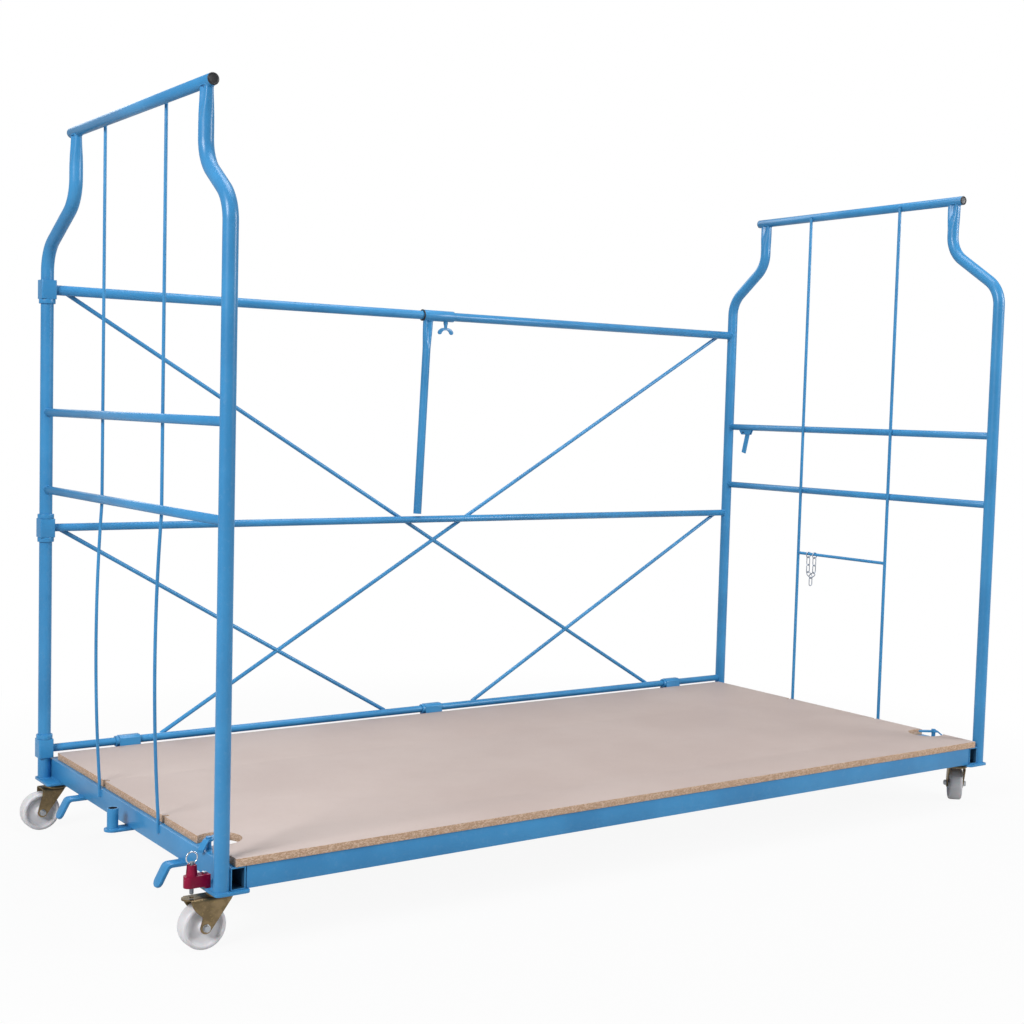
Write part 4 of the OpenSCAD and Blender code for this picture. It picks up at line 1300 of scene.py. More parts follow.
@dataclass
class EndFrame:
    """One end of the trolley: two bent posts, top bar, rails, rods and beam."""

    side: Side
    shifts: tuple[float, float]
    angles: tuple[float, float]
    bend_top: float
    rod_r: float
    tube: BentTube
    seams: Seams
    bend_r: float = 90 * MM
    press: PressedEnd = PressedEnd(90.0, 16.85, 10.2, 19.6, 13.45)
    overhang: float = 33 * MM
    rails: Span = (0.915, 1.122)

    @property
    def name(self) -> str:
        """The end's name in lower case."""
        return self.side.name.lower()

    @property
    def body(self) -> str:
        """The CAD body of this end."""
        return "left_end" if self.side is Side.LEFT else ROOT

    @property
    def x(self) -> float:
        """X of the post axes."""
        return LAYOUT.left if self.side is Side.LEFT else LAYOUT.right

    @property
    def beam_x(self) -> Span:
        """X of the end beam's outer and inner faces."""
        outer = self.x - self.side.value * LAYOUT.post_r
        return outer, outer - self.side.value * LAYOUT.beam_w

    def tops(self) -> Span:
        """Y of the two posts' tops."""
        return LAYOUT.front + self.shifts[0] * MM, LAYOUT.rear - self.shifts[1] * MM

    def post(self, rear: bool) -> None:
        """One post: straight, bent inwards and up again, and pinched at its top.

        Args:
            rear: Whether it is the rear post.
        """
        inward, angle = self.shifts[rear] * MM, math.radians(self.angles[rear])
        foot, way = LAYOUT.rows[rear]
        upper = self.bend_top - self.bend_r * math.tan(angle / 2)
        lower = upper - inward / math.tan(angle)
        top = foot + way * inward
        corners = [
            Vector((self.x, foot, LAYOUT.plate_top)),
            Vector((self.x, foot, lower)),
            Vector((self.x, top, upper)),
            Vector((self.x, top, LAYOUT.top_bar_z - self.press.length * MM)),
        ]
        node = f"{self.name}_{'rear' if rear else 'front'}_post"
        bent = self.tube.run(node, [corners], 2 * LAYOUT.post_r, 44, self.bend_r)
        end = self.press.mesh(Matrix.Translation(corners[-1]))
        piece(f"{node}_tube", joined(node, bent, end), self.body, BLUE, [node])
        self.seams.ring(self.body, corners[0], UP, LAYOUT.post_r + 0.3 * MM)
        bar = Vector((self.x, top, LAYOUT.top_bar_z))
        self.seams.add(self.body, [bar + p for p in self.press.seam(44)], True)

    def straight_tubes(self) -> None:
        """Top bar between its caps, and the side rails, whose ends meet the posts."""
        front, rear = self.tops()
        into = LAYOUT.post_r - 4 * MM
        bar = (front - self.overhang, rear + self.overhang)
        rail = (LAYOUT.front + into, LAYOUT.rear - into)
        for node, (start, end), radius, heights in (
            ("top_bar", bar, LAYOUT.bar_r, [LAYOUT.top_bar_z]),
            ("side_rails", rail, LAYOUT.rail_r, self.rails),
        ):
            node = f"{self.name}_{node}"
            ends = [((self.x, start, z), (self.x, end, z)) for z in heights]
            made = joined(node, *(drawn(a, b, radius) for a, b in ends))
            piece(f"{node}_drawn", made, self.body, BLUE, [node], crease=50)

    def caps(self) -> None:
        """Black plugs with hollow heads in the ends of the top bar."""
        profile = [
            (0, 1.0), (8.6, 1.0), (9.8, 1.3), (10.6, 2.3), (12.2, 2.2), (13.1, 1.3),
            (13.42, 0.3), (13.42, -0.2), (12.9, -0.5), (11.0, -0.6), (11.0, -9),
            (10.2, -12), (0, -12),
        ]  # fmt: skip
        shape = Shape()
        for y, way in zip(self.tops(), (-1, 1)):
            end = Vector((self.x, y + way * self.overhang, LAYOUT.top_bar_z))
            shape.turn(profile, along(end, end + NORTH * way), 40)
        name = f"{self.name}_bar_caps"
        piece(name + "_domed", shape.mesh(name), self.body, BLACK, [name], crease=50)

    def weld(self) -> None:
        """Seams of the rails, the rods, the beam and the foot plates."""
        out, body = self.side.value, self.body
        outer, inner = self.beam_x
        for z in self.rails:
            for y, way in LAYOUT.rows:
                self.seams.saddle(body, (self.x, y, z), NORTH * way, LAYOUT.rail_r)
        rod_x = self.x - out * (LAYOUT.rail_r + self.rod_r)
        touch = self.x - out * LAYOUT.rail_r
        for y in LAYOUT.rods:
            for z in self.rails:
                for e in (-1, 1):
                    self.seams.add(
                        body,
                        [
                            (touch, y + e * (2.2 + abs(i) * 0.2) * MM, z + i * MM)
                            for i in range(-5, 6)
                        ],
                    )
            for e in (-1, 1):
                foot = (outer + out * 0.4 * MM, y + e * self.rod_r * 0.92, 0)
                self.seams.line(body, foot, UP, (163, 170, 178, 181))
            self.seams.ring(body, (rod_x, y, LAYOUT.top_bar_z), UP, self.rod_r)
        for y, way in LAYOUT.rows:
            for e in (-1, 1):
                foot = (outer + out * 1.2 * MM, y + e * 6.2 * MM, 0)
                self.seams.line(body, foot, UP, (134, 150, 165, 181))
            for x in (outer, inner):
                corner = (x, y, LAYOUT.plate_top)
                self.seams.line(body, corner, NORTH * way, (-10, 15, 45, 76))

    def build(self) -> None:
        """Makes and dresses the whole end."""
        for rear in (False, True):
            self.post(rear)
        self.caps()
        self.weld()
        self.straight_tubes()
        low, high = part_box(f"{self.name}_end_beam")
        wall = 2.8 * MM
        # The beam's hollow inside gets painted shade.
        hollow = (low.x + wall, high.x - wall), (low.z + wall, high.z - wall)
        coat = replace(BLUE, name=f"blue_{self.name}_beam", hollow=hollow)
        smooth_copy(coat, 1.0, f"{self.name}_end_beam")
        smooth_copy(BLUE, 1.0, f"{self.name}_foot_plates")


@dataclass
class LeftRods:
    """The two thin rods of the left end, bowed outwards below the rails."""

    tube: BentTube
    diameter: float = 8 * MM
    bow: float = 12 * MM
    low: float = 0.202
    high: float = 0.90435
    foot: float = 0.162

    def build(self) -> None:
        """Sweeps both rods along their lines."""
        x = LAYOUT.left + LAYOUT.rail_r + self.diameter / 2
        chord, steps = self.high - self.low, 28
        radius = chord * chord / (8 * self.bow) + self.bow / 2
        middle = (self.high + self.low) / 2
        lines = []
        for y in LAYOUT.rods:
            line = [Vector((x, y, self.foot))]
            for i in range(steps + 1):
                z = self.low + chord * i / steps
                out = math.sqrt(radius**2 - (z - middle) ** 2) - (radius - self.bow)
                line.append(Vector((x - out, y, z)))
            lines.append([*line, Vector((x, y, LAYOUT.top_bar_z - 1 * MM))])
        name = "left_rods_bowed"
        mesh = self.tube.run(name, lines, self.diameter, 20)
        piece(name, mesh, "left_end", BLUE, ["left_rods"])


@dataclass
class Back:
    """The braced back: three rails, crossing braces, hinge sleeves and rings."""

    seams: Seams
    sleeve_half: float = 20 * MM
    upper_insets: Span = (70 * MM, 55 * MM)
    lower_insets: Span = (340 * MM, 1075 * MM)

    def weld(self) -> None:
        """Seams of the rails at the right post and at the sleeves."""
        sleeve_x = LAYOUT.left + self.sleeve_half + 0.2 * MM
        for _, z, radius in LAYOUT.back_rails:
            self.seams.saddle(ROOT, (LAYOUT.right, LAYOUT.rear, z), -EAST, radius)
            self.seams.ring(ROOT, (sleeve_x, LAYOUT.rear, z), EAST, radius + 0.3 * MM)

    def brace_ends(self) -> None:
        """Short seams above and below the brace ends, on the backs of the rails."""
        steps, bottom = (-9, -3, 3, 9), LAYOUT.back_bottom_z + 7.4 * MM
        heights = LAYOUT.back_top_z, LAYOUT.back_middle_z
        for inset, z in zip(self.upper_insets, heights):
            for x in (LAYOUT.left + inset, LAYOUT.right - inset):
                for e in (-1, 1):
                    start = (x, LAYOUT.rear + 9.2 * MM, z + e * 7 * MM)
                    self.seams.line(ROOT, start, EAST, steps)
        for inset in self.lower_insets:
            for x in (LAYOUT.left + inset, LAYOUT.right - inset):
                self.seams.line(ROOT, (x, LAYOUT.rear + 8 * MM, bottom), EAST, steps)

    def build(self) -> None:
        """Makes the rails, dresses the back's other nodes and welds them."""
        self.weld()
        self.brace_ends()
        for node, z, radius in LAYOUT.back_rails:
            start = (LAYOUT.left + self.sleeve_half, LAYOUT.rear, z)
            end = (LAYOUT.right - LAYOUT.post_r + 4 * MM, LAYOUT.rear, z)
            made = drawn(start, end, radius)
            piece(f"{node}_drawn", made, ROOT, BLUE, [node], crease=50)
        dress(BLUE, "braces_falling_right", "braces_falling_left")
        dress(BLUE, "right_rods", "chain_bar")
        smooth_copy(BLUE, 0.8, "hinge_sleeves", "post_stop_rings", "rail_stop_rings")


@dataclass
class Deck:
    """Chipboard on a welded frame that folds about the bottom rail."""

    seams: Seams
    member: float = 30 * MM
    members: int = 6
    strap_inset: float = 0.238

    def build(self) -> None:
        """Makes the deck's pieces and the seams under it."""
        smooth_copy(BOARD, 0.5, "deck_board")
        beams = "deck_front_beam", "deck_rear_beam", "deck_cross_members", "deck_straps"
        smooth_copy(BLUE, 1.0, *beams)
        low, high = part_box("deck_cross_members")
        pitch = (high.x - self.member - low.x) / (self.members - 1)
        bottom, top = low.z + 1 * MM, high.z - 1 * MM
        for i in range(self.members):
            near = low.x + pitch * i
            far = near + self.member
            for y in (low.y, high.y):
                self.seams.add("deck", [(near, y, bottom), (near, y, top)])
                self.seams.add("deck", [(far, y, top), (far, y, bottom)])
                self.seams.add("deck", [(near, y, bottom), (far, y, bottom)])
        strap_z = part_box("deck_straps")[0].z - 0.3 * MM
        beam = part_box("deck_rear_beam")
        for x in (
            LAYOUT.left + self.strap_inset,
            (LAYOUT.left + LAYOUT.right) / 2,
            LAYOUT.right - self.strap_inset,
        ):
            for y in (beam[0].y - 1 * MM, beam[1].y + 1 * MM):
                self.seams.line("deck", (x, y, strap_z), EAST, (-29, -10, 10, 29))


class Corner(Enum):
    """The four casters: X and Y of the swivel axis, and yaw at rest in degrees."""

    FRONT_LEFT = (LAYOUT.left + 20 * MM, LAYOUT.front + 47 * MM, 0.0)
    REAR_LEFT = (LAYOUT.left + 20 * MM, LAYOUT.rear - 33 * MM, 0.0)
    FRONT_RIGHT = (LAYOUT.right - 28 * MM, LAYOUT.front + 52 * MM, 225.0)
    REAR_RIGHT = (LAYOUT.right - 28 * MM, LAYOUT.rear - 33 * MM, 0.0)


@dataclass
class Caster:
    """Swivel caster in millimetres: pressed fork, race cup, nylon wheel, axle bolt."""

    corner: Corner
    trail: float = 42.0
    axle_z: float = 50.0
    eye_r: float = 13.0
    leg_y: float = 23.5
    sheet: float = 3.0
    bend: float = 7.0
    crown: float = 112.0
    race_r: float = 31.0
    rear_line: tuple[Span, Span] = ((-55.0, 52.0), (-37.0, 114.0))
    front_line: tuple[Span, Span] = ((-31.0, 43.0), (22.0, 114.0))
    shoulder: float = 33.0
    shoulder_z: Span = (67.0, 110.0)
    lock_reach: float = 66.0
    lock_hole_r: float = 5.5
    lip_half: float = 15.0
    lip_end: float = 88.0

    @property
    def name(self) -> str:
        """The corner's name as the CAD nodes have it."""
        return self.corner.name.lower()

    @property
    def place(self) -> Matrix:
        """The swivel axis on the floor, turned so that the wheel trails along -X."""
        x, y, yaw = self.corner.value
        turn = Matrix.Rotation(math.radians(yaw), 4, "Z")
        return Matrix.Translation((x, y, 0)) @ turn

    def edges(self, z: float, y: float, flat: float) -> Span:
        """Where the pressed sheet begins and ends along X.

        Args:
            z: Height of the place.
            y: Its distance from the middle.
            flat: 0 on a leg, 1 on the crown.

        Returns:
            The rear and the front edge.
        """

        def slanted(line: tuple[Span, Span]) -> float:
            """X of a leg's straight edge at this height."""
            (x0, z0), (x1, z1) = line
            return x0 + (z - z0) * (x1 - x0) / (z1 - z0)

        eye = math.sqrt(max(self.eye_r**2 - (z - self.axle_z) ** 2, 0.0))
        rear, front = -self.trail - eye, -self.trail + eye
        if z > self.axle_z + 5:
            rear = min(rear, slanted(self.rear_line))
        if z >= self.axle_z - 6:
            front = max(front, slanted(self.front_line))
        if self.corner is Corner.FRONT_LEFT:
            low, high = self.shoulder_z
            if z >= low:
                swell = math.sin(min((z - low) / (high - low), 1.0) * math.pi / 2)
                rear = min(rear, -self.trail - self.shoulder * swell)
            if abs(y) < 12:
                rear = 9.0 - self.lock_reach
        cup = math.sqrt(max(self.race_r**2 - y * y, 0.0))
        return rear, front + (cup - front) * flat

    def fork(self) -> bpy.types.Mesh:
        """A sheet that runs up one leg, over the crown and down the other.

        Returns:
            The sheet's mesh.
        """
        half = []
        for i in range(9):
            rise = self.eye_r * (1 - math.cos(math.pi / 2 * i / 8))
            half.append((self.leg_y, self.axle_z - self.eye_r + 0.05 + rise, 0.0, 0.0))
        for z in range(54, int(self.crown - self.bend), 3):
            half.append((self.leg_y, float(z), 0.0, 0.0))
        for i in range(7):
            a = math.pi / 2 * i / 6
            y = self.leg_y - self.bend * (1 - math.cos(a))
            z = self.crown - self.bend * (1 - math.sin(a))
            half.append((y, z, a, (1 - math.cos(a))))
        if self.corner is Corner.FRONT_LEFT:
            half += [(y, self.crown, math.pi / 2, 1.0) for y in (14.6, 11.4)]
        other = [(-y, z, math.pi - a, f) for y, z, a, f in reversed(half)]
        rings = []
        for y, z, a, flat in half + other:
            rear, front = self.edges(z, y, flat)
            out = Vector((0, math.cos(a), math.sin(a))) * self.sheet / 2
            mid = Vector((0, y, z))
            rings.append(
                [
                    Vector((x, 0, 0)) + mid + out * s
                    for s, xs in ((1, (rear, front)), (-1, (front, rear)))
                    for x in xs
                ]
            )
        return Shape().skin(rings, self.place).mesh("fork")

    def cup(self) -> bpy.types.Mesh:
        """Upper race of the swivel, pressed round its balls, over the crown."""
        profile = [
            (6.1, 110.2), (26, 110.2), (29.6, 110.8), (31, 112.4), (31, 114),
            (30.2, 116), (28.4, 118.6), (27, 120.4), (26.4, 121.6), (20, 121.7),
            (19.2, 119), (17, 116), (6.1, 115.2),
        ]  # fmt: skip
        return Shape().turn(profile, self.place, 56).mesh("cup")

    def lip(self) -> bpy.types.Mesh:
        """Lip of the front left fork, with the hole that the lock pin drops into.

        Returns:
            The lip's mesh.
        """
        half, root = self.lip_half, -30.0
        end = half - self.lip_end
        outline = [(root, half), (root, -half), (end, -half)]
        outline += [
            (end - half * math.sin(a), -half * math.cos(a))
            for a in (math.pi * i / 16 for i in range(1, 16))
        ]
        outline.append((end, half))
        r = self.lock_hole_r
        hole = [(r * c - self.lock_reach, r * s) for c, s in around(24)]
        return Shape().plate(outline, 110.1, 113.9, self.place, [hole]).mesh("lip")

    def wheel(self) -> bpy.types.Mesh:
        """Turned profile with its hub, recessed web, rim and slightly crowned tread.

        Returns:
            The wheel's mesh.
        """
        half = [
            (6.05, 21), (11.4, 21), (12.6, 20.5), (13, 19.6), (13.1, 14.8),
            (13.7, 13.3), (15.4, 12), (18, 11.2), (24, 11.0), (31, 11.8), (36, 12.9),
            (38.6, 14.6), (40.1, 17), (41.2, 18.5), (42.6, 19), (45.2, 19),
            (47.2, 18.3), (48.8, 16.6), (49.6, 14), (49.9, 11), (50, 6), (50, 0),
        ]  # fmt: skip
        profile = half + [(r, -z) for r, z in reversed(half[:-1])]
        return Shape().turn(profile, self.hub(), 96).mesh("wheel")

    def hub(self) -> Matrix:
        """The wheel's axle, with Z along it towards the front."""
        return self.place @ shift(-self.trail, 0, self.axle_z) @ QUARTER_X

    def bearing(self) -> bpy.types.Mesh:
        """Dark seals on both faces of the hub.

        Returns:
            The seals' mesh.
        """
        shape = Shape()
        for s in (-1, 1):
            ring = [(6.1, 20.4), (11.8, 20.4), (11.8, 21.3), (11.0, 21.6), (6.1, 21.6)]
            shape.turn([(r, s * z) for r, z in ring], self.hub(), 40)
        return shape.mesh("bearing")

    def axle(self) -> bpy.types.Mesh:
        """Axle bolt with its head, washers, lock nut and thread end.

        Returns:
            The bolt's mesh.
        """
        hub, face = self.hub(), self.leg_y + self.sheet / 2
        turned = hub @ Matrix.Rotation(math.pi, 4, "X")
        washer = [(6, 0), (8.1, 0), (8.5, 0.4), (8.5, 1.2), (8.1, 1.5), (6, 1.5)]
        shape = Shape()
        for place in (hub, turned):
            shape.turn([(r, face + z) for r, z in washer], place, 40)
        shape.turn([(0, -face), (6, -face), (6, face), (0, face)], hub, 32)
        shape.hexagon(14.3, face + 1.5, face + 6.3, hub)
        shape.turn(
            [(6.2, face + 6), (6.9, face + 6.4), (6.6, face + 7.8), (5.4, face + 8.2),
             (5.2, face + 8.6), (0, face + 8.6), (0, face + 6)],
            hub,
            32,
        )  # fmt: skip
        shape.hexagon(14.3, face + 1.5, face + 8, turned)
        return shape.mesh("axle")

    def build(self) -> None:
        """Makes the caster's pieces on its swivel and wheel bodies."""
        swivel, wheel = f"swivel_{self.name}", f"wheel_{self.name}"
        parts = [self.cup()]
        if self.corner is Corner.FRONT_LEFT:
            parts.append(self.lip())
        fork = joined("fork", rounded(self.fork(), 0.9 * MM, 40), *parts)
        for part, ending, mesh, body, finish, crease in (
            ("fork", "pressed", fork, swivel, CHROMATE, 45),
            ("axle", "bolt", self.axle(), swivel, ZINC, 28),
            ("wheel", "turned", self.wheel(), wheel, NYLON, 60),
        ):
            node = f"{part}_{self.name}"
            piece(f"{node}_{ending}", mesh, body, finish, [node], crease=crease)
        piece(f"wheel_{self.name}_seals", self.bearing(), wheel, BLACK, crease=50)


@dataclass
class Coupling:
    """Coupling socket and hooks of the left end."""

    seams: Seams
    hook_spacing: float = 0.655
    socket_reach: float = 22 * MM
    socket_r: float = 13.7 * MM
    bore_r: float = 10.85 * MM

    @staticmethod
    def hook(y: float) -> bpy.types.Mesh:
        """Flat bar, level under the beam, bent down in a bow and round at its tip.

        Args:
            y: Y of the hook's middle in metres.

        Returns:
            The hook's mesh.
        """
        half, thick, bow, droop, tip = 17.5, 8.0, 12.0, math.radians(62), 53.0
        line = [(50.0 - i * 15.5, 0.0, 0.0) for i in range(5)]
        for i in range(1, 9):
            a = droop * i / 8
            line.append((-bow - bow * math.sin(a), -bow * (1 - math.cos(a)), a))
        bend_x, bend_z, _ = line[-1]
        for i in range(1, 13):
            d = (tip - bow * droop / 2) * i / 12
            x, z = bend_x - d * math.cos(droop), bend_z - d * math.sin(droop)
            line.append((x, z, droop))
        rings, run = [], [0.0]
        for (x0, z0, _), (x1, z1, _) in zip(line, line[1:]):
            run.append(run[-1] + math.hypot(x1 - x0, z1 - z0))
        for (x, z, a), done in zip(line, run):
            left = max(run[-1] - done, 0.35)
            wide = NORTH * half * math.sqrt(1 - max(1 - left / 15, 0.0) ** 2)
            out = Vector((-math.sin(a), 0, math.cos(a))) * thick / 2
            mid = Vector((x, 0, z - thick / 2))
            corners = ((1, 1), (1, -1), (-1, -1), (-1, 1))
            rings.append([mid + out * s + wide * t for s, t in corners])
        place = Matrix.Translation((LAYOUT.left, y, LAYOUT.plate_top))
        return Shape().skin(rings, place).mesh("hook")

    def build(self) -> None:
        """Makes the socket and hooks and their seams."""
        socket = (LAYOUT.left - self.socket_reach, LAYOUT.middle, LAYOUT.plate_top)
        # The socket's bore gets painted shade.
        bore_shaded_coat = replace(BLUE, name="blue_socket", bore=(*socket[:2], self.bore_r))
        smooth_copy(bore_shaded_coat, 0.9, "coupling_socket")
        rows = [LAYOUT.middle + s * self.hook_spacing for s in (-0.5, 0.5)]
        hooks = joined("hooks", *(rounded(self.hook(y), 1.4 * MM, 40) for y in rows))
        node = "coupling_hooks"
        piece(f"{node}_bent", hooks, "left_end", BLUE, [node], crease=45)
        self.seams.ring("left_end", socket, UP, self.socket_r)
        for y in rows:
            x, z = LAYOUT.left + LAYOUT.post_r - 0.6 * MM, LAYOUT.plate_top - 0.2 * MM
            self.seams.line("left_end", (x, y, z), NORTH, (-17, -6, 6, 17))


@dataclass
class DirectionLock:
    """Red housing with its pin, ring and bolt over the front left caster."""

    housing_edge: float = 1.6
    edge: float = 0.5

    def build(self) -> None:
        """Dresses the lock, and parts its bolt from the left latch's."""
        smooth_copy(RED, self.housing_edge, "lock_housing")
        smooth_copy(DULL_ZINC, self.edge, "lock_pin")
        dress(CHROME, "lock_ring")
        for name, finish, way, replaced in (
            ("lock_bolt", ZINC, 1, ["left_bolts"]),
            ("left_latch_bolt", BLUE, -1, []),
        ):
            cut = node_copy("left_bolts")
            away = [v for v in cut.verts if (v.co.x - LAYOUT.left) * way > 0]
            bmesh.ops.delete(cut, geom=away, context="VERTS")
            mesh = closed(cut, bpy.data.meshes.new(name))
            piece(name, mesh, "left_end", finish, replaced, self.edge, COPY_CREASE)


@dataclass
class Latches:
    """Turning latches that hold the deck down."""

    seams: Seams
    edge: float = 0.8
    bolt_edge: float = 0.5
    pivot_in: float = 142 * MM
    bolt_r: float = 6.3 * MM

    def build(self) -> None:
        """Dresses the latches and the right one's bolt, with seams round both bolts."""
        smooth_copy(BLUE, self.edge, "left_latch", "right_latch")
        smooth_copy(BLUE, self.bolt_edge, "right_latch_bolt")
        y = LAYOUT.front + self.pivot_in
        inset = LAYOUT.post_r + LAYOUT.beam_w / 2
        bolts = ("left_end", LAYOUT.left + inset), (ROOT, LAYOUT.right - inset)
        for body, x in bolts:
            self.seams.ring(body, (x, y, LAYOUT.beam_top), UP, self.bolt_r)


@dataclass
class Divider:
    """Sliding divider on the back's top rail, with its arm and wing screw."""

    tube: BentTube
    seams: Seams
    start: float = 1.175
    sleeve: float = 0.110
    reach: float = 0.618
    lean: float = 0.024
    arm_x: float = 18 * MM
    arm_y: float = 2.4 * MM
    screw_inset: float = 26 * MM
    neck_drop: float = 8.3 * MM
    press: PressedEnd = PressedEnd(110.0, 12.5, 6.5, 16.3, 16.6)

    @property
    def x(self) -> float:
        """X of the sleeve's left end."""
        return LAYOUT.left + self.start

    def arm(self) -> None:
        """The hanging tube, pressed flat at its top, and its seam on the sleeve."""
        place = (self.x + self.arm_x, LAYOUT.rear - self.arm_y, LAYOUT.back_top_z)
        tilt = Matrix.Rotation(math.asin(self.lean / self.reach), 4, "Y")
        head = Matrix.Translation(place) @ tilt
        pressed = Vector((0, 0, -self.press.length * MM))
        line = [head @ Vector((0, 0, -self.reach)), head @ pressed]
        node = "divider_arm"
        straight = self.tube.run(node, [line], 2 * self.press.radius * MM, 40)
        end = self.press.mesh(head @ Matrix.Translation(pressed) @ QUARTER_Z)
        piece(f"{node}_pressed", joined(node, straight, end), "divider", BLUE, [node])
        rim = [head @ QUARTER_Z @ p for p in self.press.seam(40)]
        self.seams.add("divider", rim, True)

    def wings(self) -> None:
        """Screw with its conical neck and two drooping wings."""
        x = self.x + self.sleeve - self.screw_inset
        neck_z = LAYOUT.back_top_z - LAYOUT.post_r - self.neck_drop
        place = Matrix.Translation((x, LAYOUT.rear, neck_z))
        cone = [
            (0, 0), (5.7, 0), (6, -0.5), (5.6, -3.4), (4.6, -9), (5, -12), (0, -12.4),
        ]  # fmt: skip
        neck = Shape().turn(cone, place, 32).mesh("neck")
        half = [
            (0, -9.7), (4.4, -9.9), (9.9, -10.5), (15.4, -11.8), (20.4, -14.2),
            (24.2, -17.3), (26.8, -21.1), (27.8, -24.8), (27.1, -28.3), (24.6, -30.6),
            (21.3, -31.3), (18, -30.3), (15.6, -27.9), (13.9, -24.6), (11.4, -21.3),
            (8.1, -19.1), (4.4, -18.1), (0, -17.9),
        ]  # fmt: skip
        outline = half + [(-px, pz) for px, pz in reversed(half[1:-1])]
        wings = Shape().plate(outline, -2.5, 2.5, place @ QUARTER_X).mesh("wings")
        wings = rounded(wings, 1.9 * MM, 40)
        rod = [(0, 9), (4, 9), (4, -1), (0, -1)]
        shank = Shape().turn(rod, place, 32).mesh("shank")
        screw = joined("wing_screw", neck, wings, shank)
        piece("wing_screw_cast", screw, "wing_screw", BLUE, ["wing_screw"], crease=50)

    def build(self) -> None:
        """Makes the divider's pieces."""
        self.arm()
        self.wings()
        smooth_copy(BLUE, 0.8, "divider_sleeve")
        smooth_copy(BLACK, 0.5, "divider_bushes")


@dataclass
class HoldLever:
    """Lever under the right upper side rail that holds the folded deck."""

    edge: float = 0.8
    bracket_edge: float = 0.5

    def build(self) -> None:
        """Dresses the bracket and its lever."""
        smooth_copy(BLUE, self.bracket_edge, "hold_lever_bracket")
        smooth_copy(BLUE, self.edge, "hold_lever")


@dataclass
class SafetyChain:
    """Two strands that hang from their bar and meet in one link."""

    links: ChainLinks
    inside: float = 26.0
    width: float = 10.0
    wire: float = 3.0
    span: float = 28.0
    bar_z: float = 702.0
    bar_r: float = 5.0
    gap: float = 0.3
    from_rod: float = 62 * MM
    nest: float = 1.25
    aside: float = 1.7

    def build(self) -> None:
        """Sets the links where the CAD chain has them, and turns the two rings."""
        x = LAYOUT.right - LAYOUT.rail_r - self.bar_r * MM
        origin = Matrix.Translation((x, LAYOUT.rods[1] - self.from_rod, 0))
        eye_r = self.bar_r + self.wire + 0.4
        eye_z = self.bar_z + self.bar_r + self.gap - eye_r
        hang = eye_z - eye_r + self.gap
        pitch, arc = self.inside - self.gap, self.inside - self.width
        slant_z = hang - 2 * pitch - self.width / 2 + self.nest
        slant = math.asin((self.span / 2 - 1) / arc)
        middle, lift = shift(0, 0, -self.inside / 2), shift(0, 0, self.width / 2)
        half = self.wire / 2
        wire = [(eye_r + half + half * c, half * s) for c, s in around(12)]
        places, rings = [], Shape()
        for s in (-1, 1):
            dy = s * self.span / 2
            rings.turn(wire, origin @ shift(0, dy, eye_z) @ QUARTER_X, 36)
            tilt = Matrix.Rotation(-s * slant, 4, "X") @ lift @ QUARTER_Z
            places += [
                origin @ shift(0, dy, hang) @ QUARTER_Z @ middle,
                origin @ shift(0, dy, hang - pitch) @ middle,
                origin @ shift(s * self.aside, dy, slant_z) @ tilt @ middle,
            ]
        low = slant_z - arc * math.cos(slant) - self.width / 2 + self.nest
        places.append(origin @ shift(0, 0, low) @ middle)
        dots = bpy.data.meshes.new("chain_points")
        dots.from_pydata([m.translation for m in places], [], [])
        turns = dots.attributes.new("turn", "FLOAT_VECTOR", "POINT")
        for i, m in enumerate(places):
            turns.data[i].vector = (m @ QUARTER_X).to_euler()
        made = self.links.grow(
            dots,
            CHAIN_ZINC,
            Inside_Length=self.inside * MM,
            Inside_Width=self.width * MM,
            Wire=self.wire * MM,
        )
        chain, node = joined("chain", made, rings.mesh("rings")), "safety_chain"
        piece(f"{node}_links", chain, node, CHAIN_ZINC, [node], crease=80)


# Studio

WHITE = (1, 1, 1)


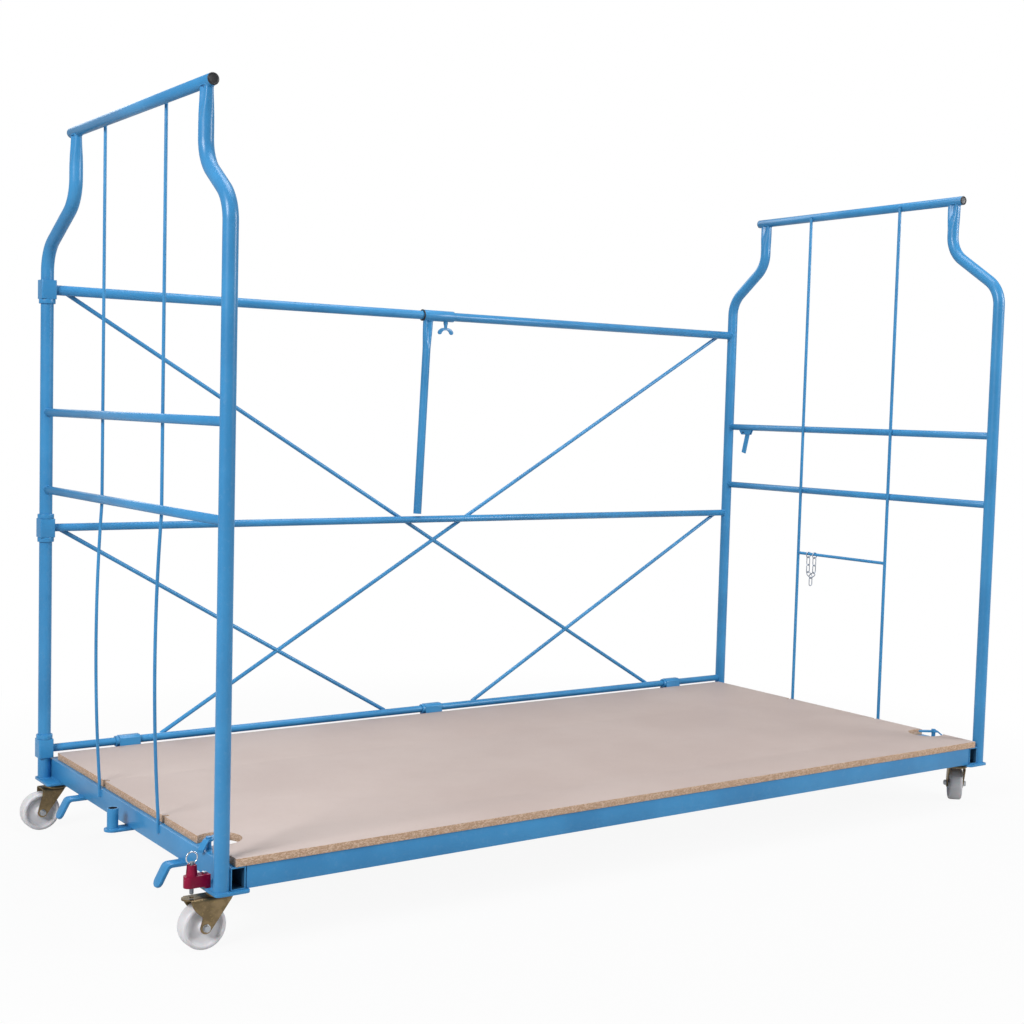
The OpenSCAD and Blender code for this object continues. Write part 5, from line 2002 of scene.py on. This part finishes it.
@dataclass
class Studio:
    """Pale floor, soft lamps and the camera of the photograph."""

    eye: Point = (LAYOUT.left - 1.3441, LAYOUT.front - 2.9339, 1.1627)
    yaw: float = 35.19
    pitch: float = -3.82
    roll: float = 1.55
    lens: float = 53.88
    ambient: float = 0.13
    haze: float = 0.93
    pale: Colour = (0.55, 0.55, 0.55)
    floor_half: float = 60.0
    shadow_fade: Span = (1.2, 2.6)

    def camera(self) -> None:
        """Camera as solved from the photograph."""
        yaw, pitch, roll = map(math.radians, (self.yaw, self.pitch, self.roll))
        heading = Vector((math.sin(yaw), math.cos(yaw), 0))
        ahead = heading * math.cos(pitch) + UP * math.sin(pitch)
        level = heading.cross(UP)
        over = level.cross(ahead)
        right = level * math.cos(roll) + over * math.sin(roll)
        upward = -level * math.sin(roll) + over * math.cos(roll)
        data = bpy.data.cameras.new("photo_camera")
        data.lens, data.sensor_width, data.clip_end = self.lens, 36, 100
        camera = added("photo_camera", data)
        turn = Matrix((right, upward, -ahead)).transposed().to_4x4()
        camera.matrix_world = Matrix.Translation(self.eye) @ turn
        bpy.context.scene.camera = camera

    @staticmethod
    def seen(graph: Graph) -> Value:
        """1 for rays that see the background, and less for its reflections."""
        rays = [
            graph.node("ShaderNodeLightPath", output=f"Is {ray} Ray")
            for ray in ("Camera", "Transmission", "Glossy")
        ]
        return rays[0].over(rays[1]).over(rays[2] * 0.4)

    def world(self) -> None:
        """White to the eye, and a level soft light on the object."""
        world = bpy.data.worlds.new("studio")
        graph = shading(world)
        strength = self.ambient + self.seen(graph) * (1 - self.ambient)
        shader = graph.node(
            "ShaderNodeBackground", inputs={"Color": WHITE, "Strength": strength}
        )
        graph.node("ShaderNodeOutputWorld", inputs={"Surface": shader})
        bpy.context.scene.world = world

    def floor(self) -> None:
        """A wide pale floor that keeps the trolley's shadow."""
        mesh = bpy.data.meshes.new("floor")
        r = self.floor_half
        corners = [(-r, -r, 0), (r, -r, 0), (r, r, 0), (-r, r, 0)]
        mesh.from_pydata(corners, [], [(0, 1, 2, 3)])
        made = added("floor", mesh)
        material = bpy.data.materials.new("pale_floor")
        graph = shading(material)
        matt = {"Base Color": self.pale, "Roughness": 0.9, "Specular IOR Level": 0.1}
        shader = graph.node("ShaderNodeBsdfPrincipled", inputs=matt)
        white = graph.node(
            "ShaderNodeEmission", inputs={"Color": WHITE, "Strength": 1.0}
        )
        x, y, _ = graph.axes(graph.place())
        near, away = self.shadow_fade
        far = (x * x + y * y).step(near**2, away**2)
        share = self.seen(graph) * (self.haze + far * (1 - self.haze))
        both = graph.node("ShaderNodeMixShader", inputs={0: share, 1: shader, 2: white})
        graph.node("ShaderNodeOutputMaterial", inputs={"Surface": both})
        mesh.materials.append(material)

    def lamps(self) -> None:
        """Four soft boxes round the trolley."""
        for name, spot, aim, size, power in (
            ("top", (0.0, -0.4, 5.6), (0, 0, 0.2), 3.0, 150),
            ("left", (-6.4, -2.4, 4.2), (-0.4, 0, 1.0), 2.4, 410),
            ("right", (4.4, -4.2, 3.0), (0.3, 0, 0.7), 2.0, 215),
            ("rim", (0.6, 4.8, 3.8), (0, 0, 0.8), 3.0, 60),
        ):
            data = bpy.data.lights.new(name, "AREA")
            data.shape, data.size, data.energy = "SQUARE", size, power
            lamp = added(name, data)
            way = Vector(aim) - Vector(spot)
            lamp.location = spot
            lamp.rotation_euler = way.to_track_quat("-Z", "Y").to_euler()

    def build(self) -> None:
        """Sets up the whole studio."""
        self.camera()
        self.world()
        self.floor()
        self.lamps()
        bpy.context.scene.view_settings.view_transform = "Standard"


def main() -> None:
    """Builds the trolley's pieces in order, then the studio."""
    logging.basicConfig(level=logging.INFO, format="%(name)s: %(message)s")
    tube, seams = BentTube(), Seams()
    EndFrame(Side.LEFT, (129, 217), (54, 62), 1.718, 4 * MM, tube, seams).build()
    EndFrame(Side.RIGHT, (182, 154), (56, 52), 1.73, 5 * MM, tube, seams).build()
    LeftRods(tube).build()
    Back(seams).build()
    Deck(seams).build()
    for corner in Corner:
        Caster(corner).build()
    smooth_copy(DULL_ZINC, 0.5, "left_swivel_heads", "right_swivel_heads")
    Coupling(seams).build()
    DirectionLock().build()
    Latches(seams).build()
    Divider(tube, seams).build()
    HoldLever().build()
    SafetyChain(ChainLinks()).build()
    seams.build(WeldBead())
    Studio().build()


if __name__ == "__main__":
    main()
